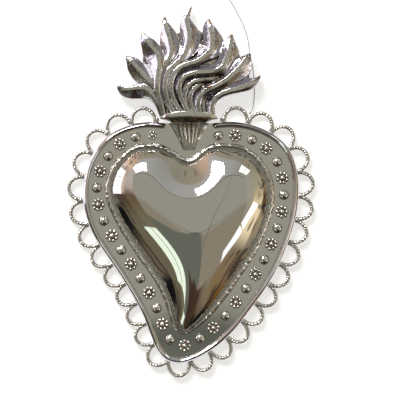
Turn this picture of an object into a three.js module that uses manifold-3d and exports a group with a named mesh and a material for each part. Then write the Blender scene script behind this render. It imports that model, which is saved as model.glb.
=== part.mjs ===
import * as THREE from 'three';
import { mergeVertices } from 'three/addons/utils/BufferGeometryUtils.js';
import Module from 'manifold-3d';

// A flaming heart ex-voto of polished silver plate, lying on its back.
// Millimetres. +Z is out of the front, +Y from the heart's tip to the flames, +X to the right.

// Sizes that drive the model
const FIT_GAP = 0.3; // clearance between neighbouring pieces
const PLATE_WIDTH = 115.7; // border plate across its lobes
const PLATE_LENGTH = 129.6; // border plate from its top edge to its tip
const PLATE_TOP = 3.4; // face of the border plate above the table
const SHEET = 1.0; // thickness of the border plate
const SKIRT = 1.4; // thickness of its turned-down edge
const RIM_WIDTH = 3.0; // low rounded rim wire
const RIM_HEIGHT = 0.9;
const RIM_STOP = 1.5; // ends of the rim wire from the stem's sides
const MOULDING_WIDTH = 3.0; // low rounded moulding round the heart
const MOULDING_HEIGHT = 1.0;
const TIP_NARROWING = 0.5; // share of its width the moulding loses at the tip
const DOME_RISE = 15.0; // heart above the border plate
const DOME_WALL = 1.0; // thickness of the heart's shell
const DOME_LEDGE = 0.6; // plate showing inside the heart's foot
const DOME_FULLNESS = 2.3; // higher is a flatter top and a steeper foot
const RIDGE_SHARE = 0.78; // length of the ridge as a share of the way from the top to the tip
const RIDGE_FALL = 0.6; // share of the height that the ridge loses on the way
const VALLEY_DEPTH = 2.6; // hollow below the cleft
const VALLEY_WIDTH = 14.0;
const VALLEY_END = 3.5; // the hollow runs out this far below the top
const STUD_PAIRS = 17; // rosettes, and as many plain studs
const STUD_LEFT = 18.9; // first stud, left of the stem's axis
const STUD_RIGHT = 15.2; // last stud, right of the stem's axis
const BOSS_DIAMETER = 5.4;
const BOSS_HEIGHT = 1.5;
const ROSETTE_DIAMETER = 7.0;
const ROSETTE_HEIGHT = 1.8;
const ROSETTE_PETALS = 8;
const FIRST_ROSETTE = 0.72; // the first rosette is smaller
const FRINGE_LENGTHS = 4; // lengths of fringe round the plate
const LOOPS_PER_LENGTH = 7;
const FRINGE_WIRE = 1.9; // thickness of the fringe wire
const FRINGE_LEVEL = 2.0; // middle of the fringe wire above the table
const FRINGE_LEFT = 17.6; // first foot, left of the stem's axis
const FRINGE_RIGHT = 18.4; // last foot, right of the stem's axis
const LOOP_REACH = 8.3; // middle of the loop's wire beyond the plate's edge
const STEM_AXIS = -1.6; // the stem, cup and flame stand a little left of the middle
const STEM_FOOT = 14.0; // lower end of the stem below the plate's top edge
const STEM_LENGTH = 14.6;
const STEM_FOOT_WIDTH = 6.6;
const STEM_TOP_WIDTH = 21.6;
const STEM_RISE = 5.6;
const STEM_FLUTES = 5;
const CUP_WIDTH = 31.0;
const CUP_NECK_WIDTH = 18.4;
const CUP_DEPTH = 2.4; // from the neck to the ends of the lip, along Y
const CUP_BOW = 3.3; // how far the middle of the lip bows towards the flames
const CUP_RISE = 9.2;
const FLAME_LIFT = 0.9; // room under the flame beyond the thread
const FLAME_RISE = 8.4; // highest crest above the flame's back
const FLAME_EDGE = 1.7; // thickness of the flame's rim
const FLAME_WEB = 1.6; // thickness between the tongues
const FLAME_WIDTH = 76.5;
const FLAME_LENGTH = 56.4;
const CREST_HALF = 0.95; // half the width of a tongue's crest
const CREST_SHARE = 0.5; // the crest is at most this share of a flank
const LEFT_FALL = 0.75; // steepest fall of a tongue's left flank
const RIGHT_FALL = 0.8; // and of its right flank
const THREAD_DIAMETER = 0.6;
const KNOT_DIAMETER = 1.5;

const FLAME_BACK = THREAD_DIAMETER + FLAME_LIFT;

const wasm = await Module();
wasm.setup();

const silver = { color: 0xd2cec4, metalness: 1.0, roughness: 0.06 };
const nylon = { color: 0xe6eaec, metalness: 0.0, roughness: 0.15 };
const group = new THREE.Group();
group.name = 'ex_voto_heart';
const cordNodes = new Set();

// A named piece of the object
function add(name, geometry, look) {
  const mesh = new THREE.Mesh(geometry, new THREE.MeshStandardMaterial(look));
  mesh.name = name;
  group.add(mesh);
  return mesh;
}

// A closed skin over a row of rings; a ring of one point closes an end
function skin(rings, loops) {
  const positions = [];
  const starts = [];
  for (const ring of rings) {
    starts.push(positions.length / 3);
    for (const p of ring) {
      positions.push(p.x, p.y, p.z);
    }
  }
  const index = [];
  const spans = loops ? rings.length : rings.length - 1;
  for (let k = 0; k < spans; k += 1) {
    const next = (k + 1) % rings.length;
    const a = starts[k];
    const b = starts[next];
    const na = rings[k].length;
    const nb = rings[next].length;
    const count = Math.max(na, nb);
    if (count === 1) {
      continue;
    }
    for (let i = 0; i < count; i += 1) {
      const j = (i + 1) % count;
      if (na > 1) {
        index.push(a + i, a + j, b + (nb > 1 ? i : 0));
      }
      if (nb > 1) {
        index.push(b + i, a + (na > 1 ? j : 0), b + j);
      }
    }
  }
  if (signedVolume(positions, index) < 0) {
    index.reverse();
  }
  const geometry = new THREE.BufferGeometry();
  geometry.setAttribute('position', new THREE.Float32BufferAttribute(positions, 3));
  geometry.setIndex(index);
  geometry.computeVertexNormals();
  return geometry;
}

function signedVolume(positions, index) {
  let volume = 0;
  const corner = (n) => new THREE.Vector3().fromArray(positions, 3 * index[n]);
  for (let n = 0; n < index.length; n += 3) {
    volume += corner(n).dot(corner(n + 1).cross(corner(n + 2)));
  }
  return volume;
}

function toSolid(geometry) {
  const bare = geometry.clone();
  bare.deleteAttribute('normal');
  bare.deleteAttribute('uv');
  const welded = mergeVertices(bare, 1e-4);
  return new wasm.Manifold(new wasm.Mesh({
    numProp: 3,
    vertProperties: new Float32Array(welded.attributes.position.array),
    triVerts: new Uint32Array(welded.index.array),
  }));
}

function fromSolid(solid) {
  const mesh = solid.getMesh();
  const geometry = new THREE.BufferGeometry();
  geometry.setAttribute('position', new THREE.BufferAttribute(mesh.vertProperties, 3));
  geometry.setIndex(new THREE.BufferAttribute(mesh.triVerts, 1));
  geometry.computeVertexNormals();
  return geometry;
}

function centreOf(ring) {
  const middle = new THREE.Vector3();
  for (const p of ring) {
    middle.addScaledVector(p, 1 / ring.length);
  }
  return middle;
}

const capped = (rings) => skin([[centreOf(rings[0])], ...rings, [centreOf(rings[rings.length - 1])]], false);

// Outlines, run counter-clockwise from the top of the heart

const PLATE_OUTLINE = [
  [-1.5, 36.8], [-13.3, 37.4], [-25.1, 38.0], [-34.8, 36.0], [-43.9, 31.5], [-50.9, 24.3], [-55.8, 15.1],
  [-58.2, 3.3], [-57.6, -8.6], [-53.3, -21.5], [-45.9, -33.3], [-38.0, -44.9], [-31.3, -55.9], [-25.9, -66.3],
  [-21.9, -76.8], [-18.4, -84.6], [-13.3, -90.0], [-6.3, -91.5], [1.7, -89.3], [12.6, -83.0], [22.4, -74.1],
  [30.9, -63.2], [39.1, -52.0], [46.0, -40.0], [51.1, -27.9], [55.2, -15.0], [57.1, -2.1], [56.5, 10.8],
  [53.0, 22.1], [46.3, 29.8], [35.6, 35.5], [23.2, 38.1], [10.9, 37.5],
];
const HEART_OUTLINE = [
  [-1.8, 18.6], [-8.5, 22.2], [-15.5, 25.7], [-23.5, 26.8], [-31.6, 25.2], [-39.1, 19.3], [-44.2, 11.8],
  [-46.5, 2.7], [-45.4, -5.3], [-40.2, -16.9], [-32.7, -29.0], [-25.1, -40.0], [-18.4, -50.2], [-13.9, -60.7],
  [-10.9, -69.5], [-7.7, -74.6], [-3.1, -76.0], [2.3, -72.9], [10.3, -66.0], [18.9, -55.8], [27.2, -43.7],
  [34.5, -32.2], [39.9, -20.4], [43.4, -9.6], [44.3, 0.3], [42.2, 10.2], [36.6, 18.9], [28.3, 25.0],
  [18.4, 26.8], [8.7, 25.6],
];

function extent(points, axis) {
  const values = points.map((p) => p[axis]);
  return Math.max(...values) - Math.min(...values);
}

const acrossScale = PLATE_WIDTH / extent(PLATE_OUTLINE, 0);
const alongScale = PLATE_LENGTH / extent(PLATE_OUTLINE, 1);

function outlineCurve(points) {
  const scaled = points.map(([x, y]) => new THREE.Vector3(x * acrossScale, y * alongScale, 0));
  const curve = new THREE.CatmullRomCurve3(scaled, true, 'centripetal');
  curve.arcLengthDivisions = 1200;
  return curve;
}

const evenPoints = (curve, count) => curve.getSpacedPoints(count).slice(0, count);

// Unit vectors pointing into a counter-clockwise outline
function inwardNormals(points) {
  const count = points.length;
  return points.map((p, i) => {
    const run = points[(i + 1) % count].clone().sub(points[(i + count - 1) % count]).normalize();
    return new THREE.Vector3(-run.y, run.x, 0);
  });
}

function inset(points, distance) {
  const normals = inwardNormals(points);
  return points.map((p, i) => {
    const step = typeof distance === 'number' ? distance : distance[i];
    return p.clone().addScaledVector(normals[i], step);
  });
}

const atHeight = (points, z) => points.map((p) => new THREE.Vector3(p.x, p.y, z));

const plateCurve = outlineCurve(PLATE_OUTLINE);
const heartCurve = outlineCurve(HEART_OUTLINE);

// The moulding narrows towards the heart's tip
function mouldingWidths(points) {
  const tip = points.reduce((low, p) => (p.y < low.y ? p : low));
  return points.map((p) => {
    const near = Math.exp(-((p.distanceTo(tip) / (0.12 * PLATE_LENGTH)) ** 2));
    return MOULDING_WIDTH * (1 - TIP_NARROWING * near);
  });
}

// Moulding, heart and plate

const ROUND = 64;
const heartEdge = evenPoints(heartCurve, ROUND);
const widths = mouldingWidths(heartEdge);
const ARC_STEPS = 5;

const mouldingRings = [];
for (let k = 0; k <= ARC_STEPS; k += 1) {
  const turn = Math.PI * k / ARC_STEPS;
  const across = widths.map((w) => w * (1 - Math.cos(turn)) / 2);
  mouldingRings.push(atHeight(inset(heartEdge, across), PLATE_TOP + MOULDING_HEIGHT * Math.sin(turn) ** 2));
}
add('dome_moulding', skin(mouldingRings, true), silver);

const domeEdge = inset(heartEdge, widths.map((w) => w + FIT_GAP));
const domeCentre = new THREE.Vector3(-2.0 * acrossScale, -10.5 * alongScale, 0);

// The outline with only its broadest waves, so the cleft fades towards the top of the heart
function broadShape(points, waves) {
  const count = points.length;
  const shape = points.map(() => new THREE.Vector3());
  for (let wave = -waves; wave <= waves; wave += 1) {
    let re = 0;
    let im = 0;
    points.forEach((p, i) => {
      const turn = -2 * Math.PI * wave * i / count;
      re += (p.x * Math.cos(turn) - p.y * Math.sin(turn)) / count;
      im += (p.x * Math.sin(turn) + p.y * Math.cos(turn)) / count;
    });
    shape.forEach((q, i) => {
      const turn = 2 * Math.PI * wave * i / count;
      q.x += re * Math.cos(turn) - im * Math.sin(turn);
      q.y += re * Math.sin(turn) + im * Math.cos(turn);
    });
  }
  return shape;
}

// Rings of a puffed heart from its edge to its top, with a ridge to the tip and a hollow below the cleft
function puffedRings(edge, rise, steps) {
  const smooth = THREE.MathUtils.smoothstep;
  const broad = broadShape(edge, 3);
  const tip = edge.reduce((low, p) => (p.y < low.y ? p : low));
  const upper = edge.filter((p) => p.y > domeCentre.y);
  const offAxis = (p) => Math.abs(p.x - STEM_AXIS);
  const cleft = upper.reduce((best, p) => (offAxis(p) < offAxis(best) ? p : best));
  const rings = [];
  for (let k = 0; k <= steps; k += 1) {
    const spread = 1 - k / steps;
    const fade = smooth(1 - spread, 0, 0.9);
    rings.push(edge.map((p, i) => {
      const down = smooth(domeCentre.y - p.y, 0, domeCentre.y - tip.y);
      const along = down * Math.sqrt(spread);
      const root = domeCentre.clone().lerp(tip, RIDGE_SHARE * along);
      const q = p.clone().lerp(broad[i], fade).sub(root).multiplyScalar(spread).add(root);
      const high = rise * (1 - RIDGE_FALL * along ** 1.6);
      const beside = Math.exp(-(((q.x - cleft.x) / VALLEY_WIDTH) ** 2));
      const below = smooth(q.y, domeCentre.y - VALLEY_END, cleft.y);
      const hollow = VALLEY_DEPTH * beside * below * smooth(1 - spread, 0, 0.35);
      q.z = PLATE_TOP + high * (1 - spread ** DOME_FULLNESS) - hollow;
      return q;
    }));
  }
  rings[steps] = rings[steps].slice(0, 1);
  return rings;
}

const outside = puffedRings(domeEdge, DOME_RISE, 10);
const inside = puffedRings(inset(domeEdge, DOME_WALL), DOME_RISE - DOME_WALL, 7);
add('heart_dome', skin([...outside, ...inside.reverse()], true), silver);

const plateEdge = evenPoints(plateCurve, ROUND);
const hole = inset(domeEdge, DOME_WALL + DOME_LEDGE);
const plateUnder = PLATE_TOP - SHEET;
const skirtInner = inset(plateEdge, SKIRT);
add('border_plate', skin([
  atHeight(plateEdge, 0),
  atHeight(plateEdge, PLATE_TOP),
  atHeight(hole, PLATE_TOP),
  atHeight(hole, plateUnder),
  atHeight(skirtInner, plateUnder),
  atHeight(skirtInner, 0),
], true), silver);

// A run of the plate's edge between two feet, measured from the top middle
const FINE = 720;
const fineEdge = evenPoints(plateCurve, FINE);

function edgeRun(points, left, right) {
  const first = points.findIndex((p) => p.x < STEM_AXIS - left);
  let last = points.length - 1;
  while (points[last].x < STEM_AXIS + right) {
    last -= 1;
  }
  return new THREE.CatmullRomCurve3(points.slice(first, last + 1), false, 'centripetal');
}

// Rim wire, open at the stem

const RIM_STEPS = 76;
const stemHalf = STEM_TOP_WIDTH / 2;
const rimGap = stemHalf + RIM_STOP;
const rimPath = edgeRun(fineEdge, rimGap, rimGap).getSpacedPoints(RIM_STEPS);
const rimRings = rimPath.map((p, i) => {
  const ahead = rimPath[Math.min(i + 1, RIM_STEPS)];
  const behind = rimPath[Math.max(i - 1, 0)];
  const run = ahead.clone().sub(behind).normalize();
  const inward = new THREE.Vector3(-run.y, run.x, 0);
  const ring = [];
  for (let k = 0; k <= ARC_STEPS; k += 1) {
    const turn = Math.PI * k / ARC_STEPS;
    const q = p.clone().addScaledVector(inward, RIM_WIDTH * (1 - Math.cos(turn)) / 2);
    q.z = PLATE_TOP + RIM_HEIGHT * Math.sin(turn) ** 2;
    ring.push(q);
  }
  return ring;
});
add('rim_wire', capped(rimRings), silver);

// Studs, evenly along the middle of the border

const fineHeart = evenPoints(heartCurve, FINE / 2);
const rimInner = inset(evenPoints(plateCurve, FINE / 2), RIM_WIDTH);
const middleLine = rimInner.map((p) => {
  const near = fineHeart.reduce((best, q) => (q.distanceTo(p) < best.distanceTo(p) ? q : best));
  return p.clone().lerp(near, 0.5);
});
const studLine = edgeRun(middleLine, STUD_LEFT, STUD_RIGHT);
studLine.arcLengthDivisions = 1200;
const studPlaces = studLine.getSpacedPoints(2 * STUD_PAIRS - 1);

function boss() {
  const profile = [new THREE.Vector2(0, 0)];
  const radius = BOSS_DIAMETER / 2;
  for (let k = 0; k <= 3; k += 1) {
    const climb = Math.PI / 2 * k / 3;
    profile.push(new THREE.Vector2(k === 3 ? 0 : radius * Math.cos(climb), BOSS_HEIGHT * Math.sin(climb)));
  }
  const geometry = new THREE.LatheGeometry(profile, 10);
  return geometry.rotateX(Math.PI / 2);
}

// A ring of petals round a centre bead
function rosette(scale) {
  const radius = scale * ROSETTE_DIAMETER / 2;
  const height = scale * ROSETTE_HEIGHT;
  const count = 2 * ROSETTE_PETALS;
  const ring = (share, wave, z) => Array.from({ length: count }, (_, i) => {
    const turn = 2 * Math.PI * i / count;
    const reach = radius * share * (i % 2 === 0 ? 1 : 1 - wave);
    return new THREE.Vector3(reach * Math.cos(turn), reach * Math.sin(turn), z * height);
  });
  return skin([
    [new THREE.Vector3(0, 0, 0)],
    ring(1.0, 0.14, 0),
    ring(0.84, 0.12, 0.5),
    ring(0.48, 0, 0.4),
    ring(0.34, 0, 0.86),
    [new THREE.Vector3(0, 0, height)],
  ], false);
}

const twoDigits = (n) => String(n).padStart(2, '0');

studPlaces.forEach((p, i) => {
  const pair = Math.floor(i / 2) + 1;
  const outward = Math.atan2(p.y - domeCentre.y, p.x - domeCentre.x);
  const isRosette = i % 2 === 0;
  const shape = isRosette ? rosette(i === 0 ? FIRST_ROSETTE : 1) : boss();
  shape.rotateZ(outward);
  shape.translate(p.x, p.y, PLATE_TOP);
  add(`${isRosette ? 'rosette' : 'boss'}_${twoDigits(pair)}`, shape, silver);
});

// Scalloped fringe in lengths of loops, each loop half an ellipse between two feet

const LOOP_STEPS = 8;
const wireShape = new THREE.Shape();
wireShape.absellipse(0, 0, FRINGE_WIRE / 2, FRINGE_WIRE / 2, 0, 2 * Math.PI);
const footHalf = 0.86 * FRINGE_WIRE;
const footShape = new THREE.Shape();
footShape.absellipse(0, 0, 0.58 * FRINGE_WIRE, footHalf, 0, 2 * Math.PI);

class LoopCurve extends THREE.Curve {
  constructor(from, to, reach) {
    super();
    this.middle = from.clone().lerp(to, 0.5);
    this.half = to.clone().sub(from).multiplyScalar(0.5);
    const out = new THREE.Vector3(this.half.y, -this.half.x, 0).normalize();
    this.out = out.multiplyScalar(reach);
  }

  getPoint(t, target = new THREE.Vector3()) {
    const turn = Math.PI * t;
    target.copy(this.middle).addScaledVector(this.half, -Math.cos(turn));
    return target.addScaledVector(this.out, Math.sin(turn));
  }
}

function wire(shape, path, steps) {
  return toSolid(new THREE.ExtrudeGeometry(shape, { steps, curveSegments: 3, extrudePath: path }));
}

const fringePath = edgeRun(fineEdge, FRINGE_LEFT, FRINGE_RIGHT);
fringePath.arcLengthDivisions = 2400;
const fringeRun = fringePath.getLength();
const loopTotal = FRINGE_LENGTHS * LOOPS_PER_LENGTH;

// Feet stand a little further apart towards the heart's tip
function footShare(n) {
  const share = n / loopTotal;
  return share + 0.009 * Math.sin(2 * Math.PI * share);
}

function footAt(share) {
  const place = fringePath.getPointAt(share);
  const run = fringePath.getTangentAt(share);
  place.z = FRINGE_LEVEL;
  return { place, out: new THREE.Vector3(run.y, -run.x, 0) };
}

const footBack = FIT_GAP;
const footFront = FIT_GAP + 1.2 * FRINGE_WIRE;
const loopRoot = FIT_GAP + 0.5 * FRINGE_WIRE;
const endOffset = 0.28 * FRINGE_WIRE;
const splitShare = (2 * footHalf + FIT_GAP) / 2 / fringeRun;

for (let length = 0; length < FRINGE_LENGTHS; length += 1) {
  let fringe = null;
  let before = null;
  for (let n = 0; n <= LOOPS_PER_LENGTH; n += 1) {
    let share = footShare(length * LOOPS_PER_LENGTH + n);
    if (n === 0 && length > 0) {
      share += splitShare;
    }
    if (n === LOOPS_PER_LENGTH && length < FRINGE_LENGTHS - 1) {
      share -= splitShare;
    }
    const { place, out } = footAt(share);
    const run = new THREE.Vector3(-out.y, out.x, 0);
    const back = place.clone().addScaledVector(out, footBack);
    const front = place.clone().addScaledVector(out, footFront);
    const root = place.clone().addScaledVector(out, loopRoot);
    const foot = wire(footShape, new THREE.LineCurve3(back, front), 1);
    fringe = fringe ? fringe.add(foot) : foot;
    if (before) {
      const end = root.clone().addScaledVector(run, -endOffset);
      fringe = fringe.add(wire(wireShape, new LoopCurve(before, end, LOOP_REACH - loopRoot), LOOP_STEPS));
    }
    before = root.clone().addScaledVector(run, endOffset);
  }
  add(`fringe_${length + 1}`, fromSolid(fringe), silver);
}

// Stem: a fluted half funnel with plain slanting sides

const stemFoot = plateCurve.getPoint(0).y - STEM_FOOT;
const stemRings = [];
const STEM_STEPS = 6;
const STEM_ACROSS = 30;
for (let k = 0; k <= STEM_STEPS; k += 1) {
  const up = k / STEM_STEPS;
  const half = THREE.MathUtils.lerp(STEM_FOOT_WIDTH, STEM_TOP_WIDTH, up ** 1.25) / 2;
  const core = THREE.MathUtils.lerp(0.86, 0.56, up);
  const rise = STEM_RISE * THREE.MathUtils.lerp(0.2, 1, up ** 1.4);
  const y = stemFoot + STEM_LENGTH * up;
  const ring = [];
  for (let i = 0; i <= STEM_ACROSS; i += 1) {
    const x = -1 + 2 * i / STEM_ACROSS;
    const side = Math.min(1, (1 - Math.abs(x)) / (1 - core));
    const bulge = Math.sqrt(Math.max(0, 1 - (x / core) ** 2));
    const flute = Math.abs(x) < core ? 0.09 * Math.cos(2 * Math.PI * STEM_FLUTES * x / (2 * core)) : 0;
    const z = rise * (0.12 + 0.33 * side + (0.5 + flute) * bulge);
    ring.push(new THREE.Vector3(STEM_AXIS + x * half, y, PLATE_TOP + z));
  }
  ring.push(new THREE.Vector3(STEM_AXIS + half, y, PLATE_TOP));
  ring.push(new THREE.Vector3(STEM_AXIS - half, y, PLATE_TOP));
  stemRings.push(ring);
}
add('stem', capped(stemRings), silver);

// Cup: a half saucer whose lip bows towards the flames

const cupNeck = stemFoot + STEM_LENGTH + FIT_GAP;
const cupHalf = CUP_WIDTH / 2;
const cupEnd = cupNeck + CUP_DEPTH;
const CUP_ARC = 18;
const cupStations = [
  { up: 0, half: CUP_NECK_WIDTH / 2, rise: 0.8, bow: 0 },
  { up: 0.35, half: CUP_NECK_WIDTH / 2 + 1.4, rise: 0.86, bow: 0 },
  { up: 0.72, half: cupHalf - 2.2, rise: 0.95, bow: 0 },
  { up: 0.9, half: cupHalf, rise: 0.98, bow: 0.05 },
  { up: 0.96, half: cupHalf, rise: 1.0, bow: 0.2 },
  { up: 1, half: cupHalf, rise: 1.0, bow: 0.9 },
  { up: 1, half: cupHalf - 0.4, rise: 0.96, bow: 1.0 },
];

const cupRings = cupStations.map(({ up, half, rise, bow }) => {
  const top = [];
  const bottom = [];
  for (let i = 0; i <= CUP_ARC; i += 1) {
    const turn = Math.PI * i / CUP_ARC;
    const x = STEM_AXIS - half * Math.cos(turn);
    const y = cupNeck + CUP_DEPTH * up + CUP_BOW * bow * Math.sin(turn);
    top.push(new THREE.Vector3(x, y, FLAME_BACK + 1.2 + (CUP_RISE - 1.2) * rise * Math.sin(turn)));
    bottom.push(new THREE.Vector3(x, y, FLAME_BACK));
  }
  return { top, bottom };
});

function cupGeometry() {
  const rings = cupRings.map(({ top, bottom }) => [...top, ...bottom.slice().reverse()]);
  const face = ({ top, bottom }) => top.map((p, i) => p.clone().lerp(bottom[i], 0.5));
  const closeUp = (ring) => [...face(ring), ...face(ring).reverse()];
  return skin([closeUp(cupRings[0]), ...rings, closeUp(cupRings[cupRings.length - 1])], false);
}

add('cup', fromSolid(toSolid(cupGeometry())), silver);

// Flame: each tongue runs from the cup to its tip along its crest.
// A station is x, y, width of the left flank, width of the right flank and height, from the cup's middle.

const TONGUES = [
  [
    [-13.5, -2.3, 2.1, 1.6, 0.6], [-15.6, 4.9, 3.0, 1.6, 0.74], [-17.7, 8.0, 3.6, 1.8, 0.8],
    [-20.4, 10.9, 4.6, 2.2, 0.82], [-23.3, 12.4, 5.3, 2.4, 0.81], [-27.0, 12.7, 5.6, 1.9, 0.79],
    [-31.3, 12.3, 5.1, 1.4, 0.74], [-34.6, 12.5, 4.1, 1.2, 0.66], [-36.8, 13.5, 2.4, 0.9, 0.58],
    [-38.1, 14.5, 0.3, 0.3, 0.5],
  ],
  [
    [-18.8, 12.5, 2.6, 1.6, 0.86], [-20.6, 16.2, 4.2, 1.8, 0.92], [-23.3, 18.9, 5.4, 2.4, 0.92],
    [-26.5, 22.4, 5.6, 3.6, 0.88], [-29.7, 26.0, 4.4, 3.4, 0.78], [-31.9, 28.1, 2.3, 1.9, 0.66],
    [-33.6, 29.9, 0.3, 0.3, 0.5],
  ],
  [
    [-13.5, -2.3, 1.8, 1.5, 0.6], [-15.3, 5.6, 1.8, 1.5, 0.78], [-16.7, 10.3, 1.8, 1.7, 0.9],
    [-16.9, 14.5, 2.2, 1.9, 0.97], [-16.4, 19.8, 3.4, 2.6, 1.0], [-15.6, 24.6, 6.5, 2.8, 1.0],
    [-16.3, 29.4, 9.2, 3.0, 0.98], [-18.2, 32.9, 8.2, 3.4, 0.92], [-20.6, 35.8, 5.8, 3.4, 0.84],
    [-22.8, 38.5, 3.6, 2.4, 0.74], [-24.1, 40.7, 1.9, 1.2, 0.62], [-25.1, 42.8, 0.3, 0.3, 0.5],
  ],
  [
    [-15.1, 10.6, 0.6, 0.6, 0.55], [-14.9, 16.9, 1.2, 1.2, 0.72], [-14.0, 21.8, 2.4, 1.6, 0.86],
    [-11.8, 25.7, 3.8, 1.8, 0.94], [-9.9, 28.9, 5.0, 2.2, 0.98], [-9.1, 32.6, 6.2, 3.6, 0.99],
    [-9.6, 36.3, 6.0, 4.4, 0.96], [-10.8, 40.7, 4.9, 4.3, 0.9], [-12.0, 44.5, 3.4, 3.0, 0.8],
    [-12.7, 47.9, 1.8, 1.4, 0.68], [-12.9, 50.7, 0.4, 0.4, 0.5],
  ],
  [
    [-6.0, -2.3, 2.0, 1.4, 0.6], [-10.3, 3.8, 2.2, 1.4, 0.74], [-12.1, 8.8, 2.4, 1.4, 0.86],
    [-12.6, 14.0, 2.8, 1.6, 0.94], [-11.5, 19.3, 2.6, 1.8, 0.99], [-8.1, 24.1, 3.0, 1.8, 1.0],
    [-4.1, 27.8, 4.6, 2.0, 1.0], [-1.2, 32.3, 5.4, 4.6, 0.99], [0.1, 37.4, 6.0, 7.6, 0.96],
    [0.2, 42.3, 5.3, 5.2, 0.9], [-0.8, 46.4, 4.2, 3.6, 0.82], [-1.1, 49.7, 2.5, 2.0, 0.74],
    [-0.1, 53.0, 1.2, 1.0, 0.62], [1.2, 56.4, 0.4, 0.4, 0.5],
  ],
  [
    [-2.0, -2.3, 1.4, 1.2, 0.6], [-6.3, 3.5, 1.6, 1.2, 0.74], [-8.7, 8.5, 1.9, 1.3, 0.86],
    [-9.5, 14.0, 2.6, 1.4, 0.94], [-8.3, 19.3, 2.6, 1.6, 0.99], [-4.9, 23.1, 2.2, 1.7, 1.0],
    [-0.4, 25.1, 2.2, 1.8, 1.0], [4.4, 26.6, 2.4, 1.8, 1.0], [8.7, 29.7, 4.6, 2.6, 0.98],
    [11.9, 33.2, 5.2, 5.4, 0.95], [12.5, 37.5, 4.6, 6.2, 0.9], [11.9, 42.4, 4.6, 4.0, 0.82],
    [11.0, 46.3, 3.4, 1.9, 0.68], [10.7, 49.7, 0.4, 0.4, 0.5],
  ],
  [
    [0.7, -2.3, 1.2, 1.2, 0.6], [-2.8, 4.6, 1.5, 1.2, 0.74], [-4.7, 9.6, 1.9, 1.2, 0.86],
    [-4.8, 14.6, 2.8, 1.3, 0.94], [-2.0, 18.4, 3.6, 1.4, 1.0], [3.3, 20.3, 4.4, 1.4, 1.0],
    [9.2, 20.8, 4.4, 1.4, 1.0], [14.5, 21.5, 4.2, 1.7, 0.98], [18.3, 24.1, 4.4, 4.6, 0.96],
    [20.1, 28.1, 4.2, 6.4, 0.92], [21.6, 32.7, 3.4, 5.6, 0.85], [22.4, 37.4, 2.9, 2.6, 0.7],
    [22.9, 41.7, 0.4, 0.4, 0.5],
  ],
  [
    [1.7, -2.3, 1.1, 1.1, 0.56], [-1.4, 3.1, 1.1, 1.1, 0.66], [-2.3, 7.8, 1.6, 1.1, 0.76],
    [-0.9, 12.5, 2.2, 1.1, 0.84], [2.5, 15.6, 2.8, 1.1, 0.87], [7.6, 16.7, 2.8, 1.0, 0.85],
    [12.4, 17.4, 2.2, 0.9, 0.78], [16.4, 19.1, 0.3, 0.3, 0.62],
  ],
  [
    [3.9, -2.3, 1.2, 1.2, 0.56], [1.4, 3.6, 1.6, 1.2, 0.66], [0.8, 7.8, 2.2, 1.2, 0.74],
    [2.3, 11.5, 1.8, 1.2, 0.78], [5.2, 13.8, 1.6, 1.1, 0.76], [7.3, 14.3, 0.9, 0.9, 0.7],
    [8.9, 14.1, 0.3, 0.3, 0.6],
  ],
  [
    [6.5, -2.3, 1.6, 1.5, 0.58], [5.0, 3.6, 2.6, 1.6, 0.7], [6.3, 8.3, 3.4, 1.8, 0.78],
    [9.7, 11.4, 3.4, 2.0, 0.85], [14.5, 13.6, 3.2, 2.6, 0.89], [19.3, 16.4, 3.6, 3.6, 0.91],
    [23.8, 20.2, 4.6, 5.6, 0.9], [27.3, 23.8, 4.4, 6.4, 0.86], [30.0, 27.4, 3.0, 4.6, 0.76],
    [31.8, 29.8, 1.4, 2.2, 0.64], [33.0, 31.0, 0.4, 0.4, 0.5],
  ],
  [
    [12.7, -2.3, 1.9, 1.4, 0.58], [12.6, 3.6, 3.6, 1.6, 0.66], [14.3, 7.0, 3.8, 1.7, 0.72],
    [17.5, 9.5, 3.6, 1.9, 0.76], [22.0, 11.2, 3.8, 2.0, 0.78], [27.3, 12.5, 5.2, 2.2, 0.76],
    [31.9, 14.3, 5.4, 2.7, 0.7], [35.4, 16.7, 1.7, 2.0, 0.6], [38.4, 19.3, 0.3, 0.3, 0.5],
  ],
];
const WEB_OUTLINE = [
  [-14.5, -2.3], [-18.7, 6.2], [-22.5, 13.7], [-19.8, 19.6], [-19.2, 26.6], [-14.9, 29.8], [-13.3, 36.3],
  [-6.9, 42.4], [-1.5, 43.8], [5.2, 44.1], [9.2, 41.1], [17.8, 37.9], [21.6, 32.5], [28.0, 30.1], [29.7, 25.0],
  [32.6, 18.5], [26.4, 14.0], [17.8, 11.0], [13.5, 6.7], [12.9, -2.3],
];

const allStations = TONGUES.flat();
const flameAcross = FLAME_WIDTH / extent(allStations, 0);
const flameAlong = FLAME_LENGTH / Math.max(...allStations.map((s) => s[1]));
const flameX = (x) => STEM_AXIS + x * flameAcross;
const flameRoot = cupEnd + CUP_BOW;
const flameY = (y) => flameRoot + y * flameAlong;

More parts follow.
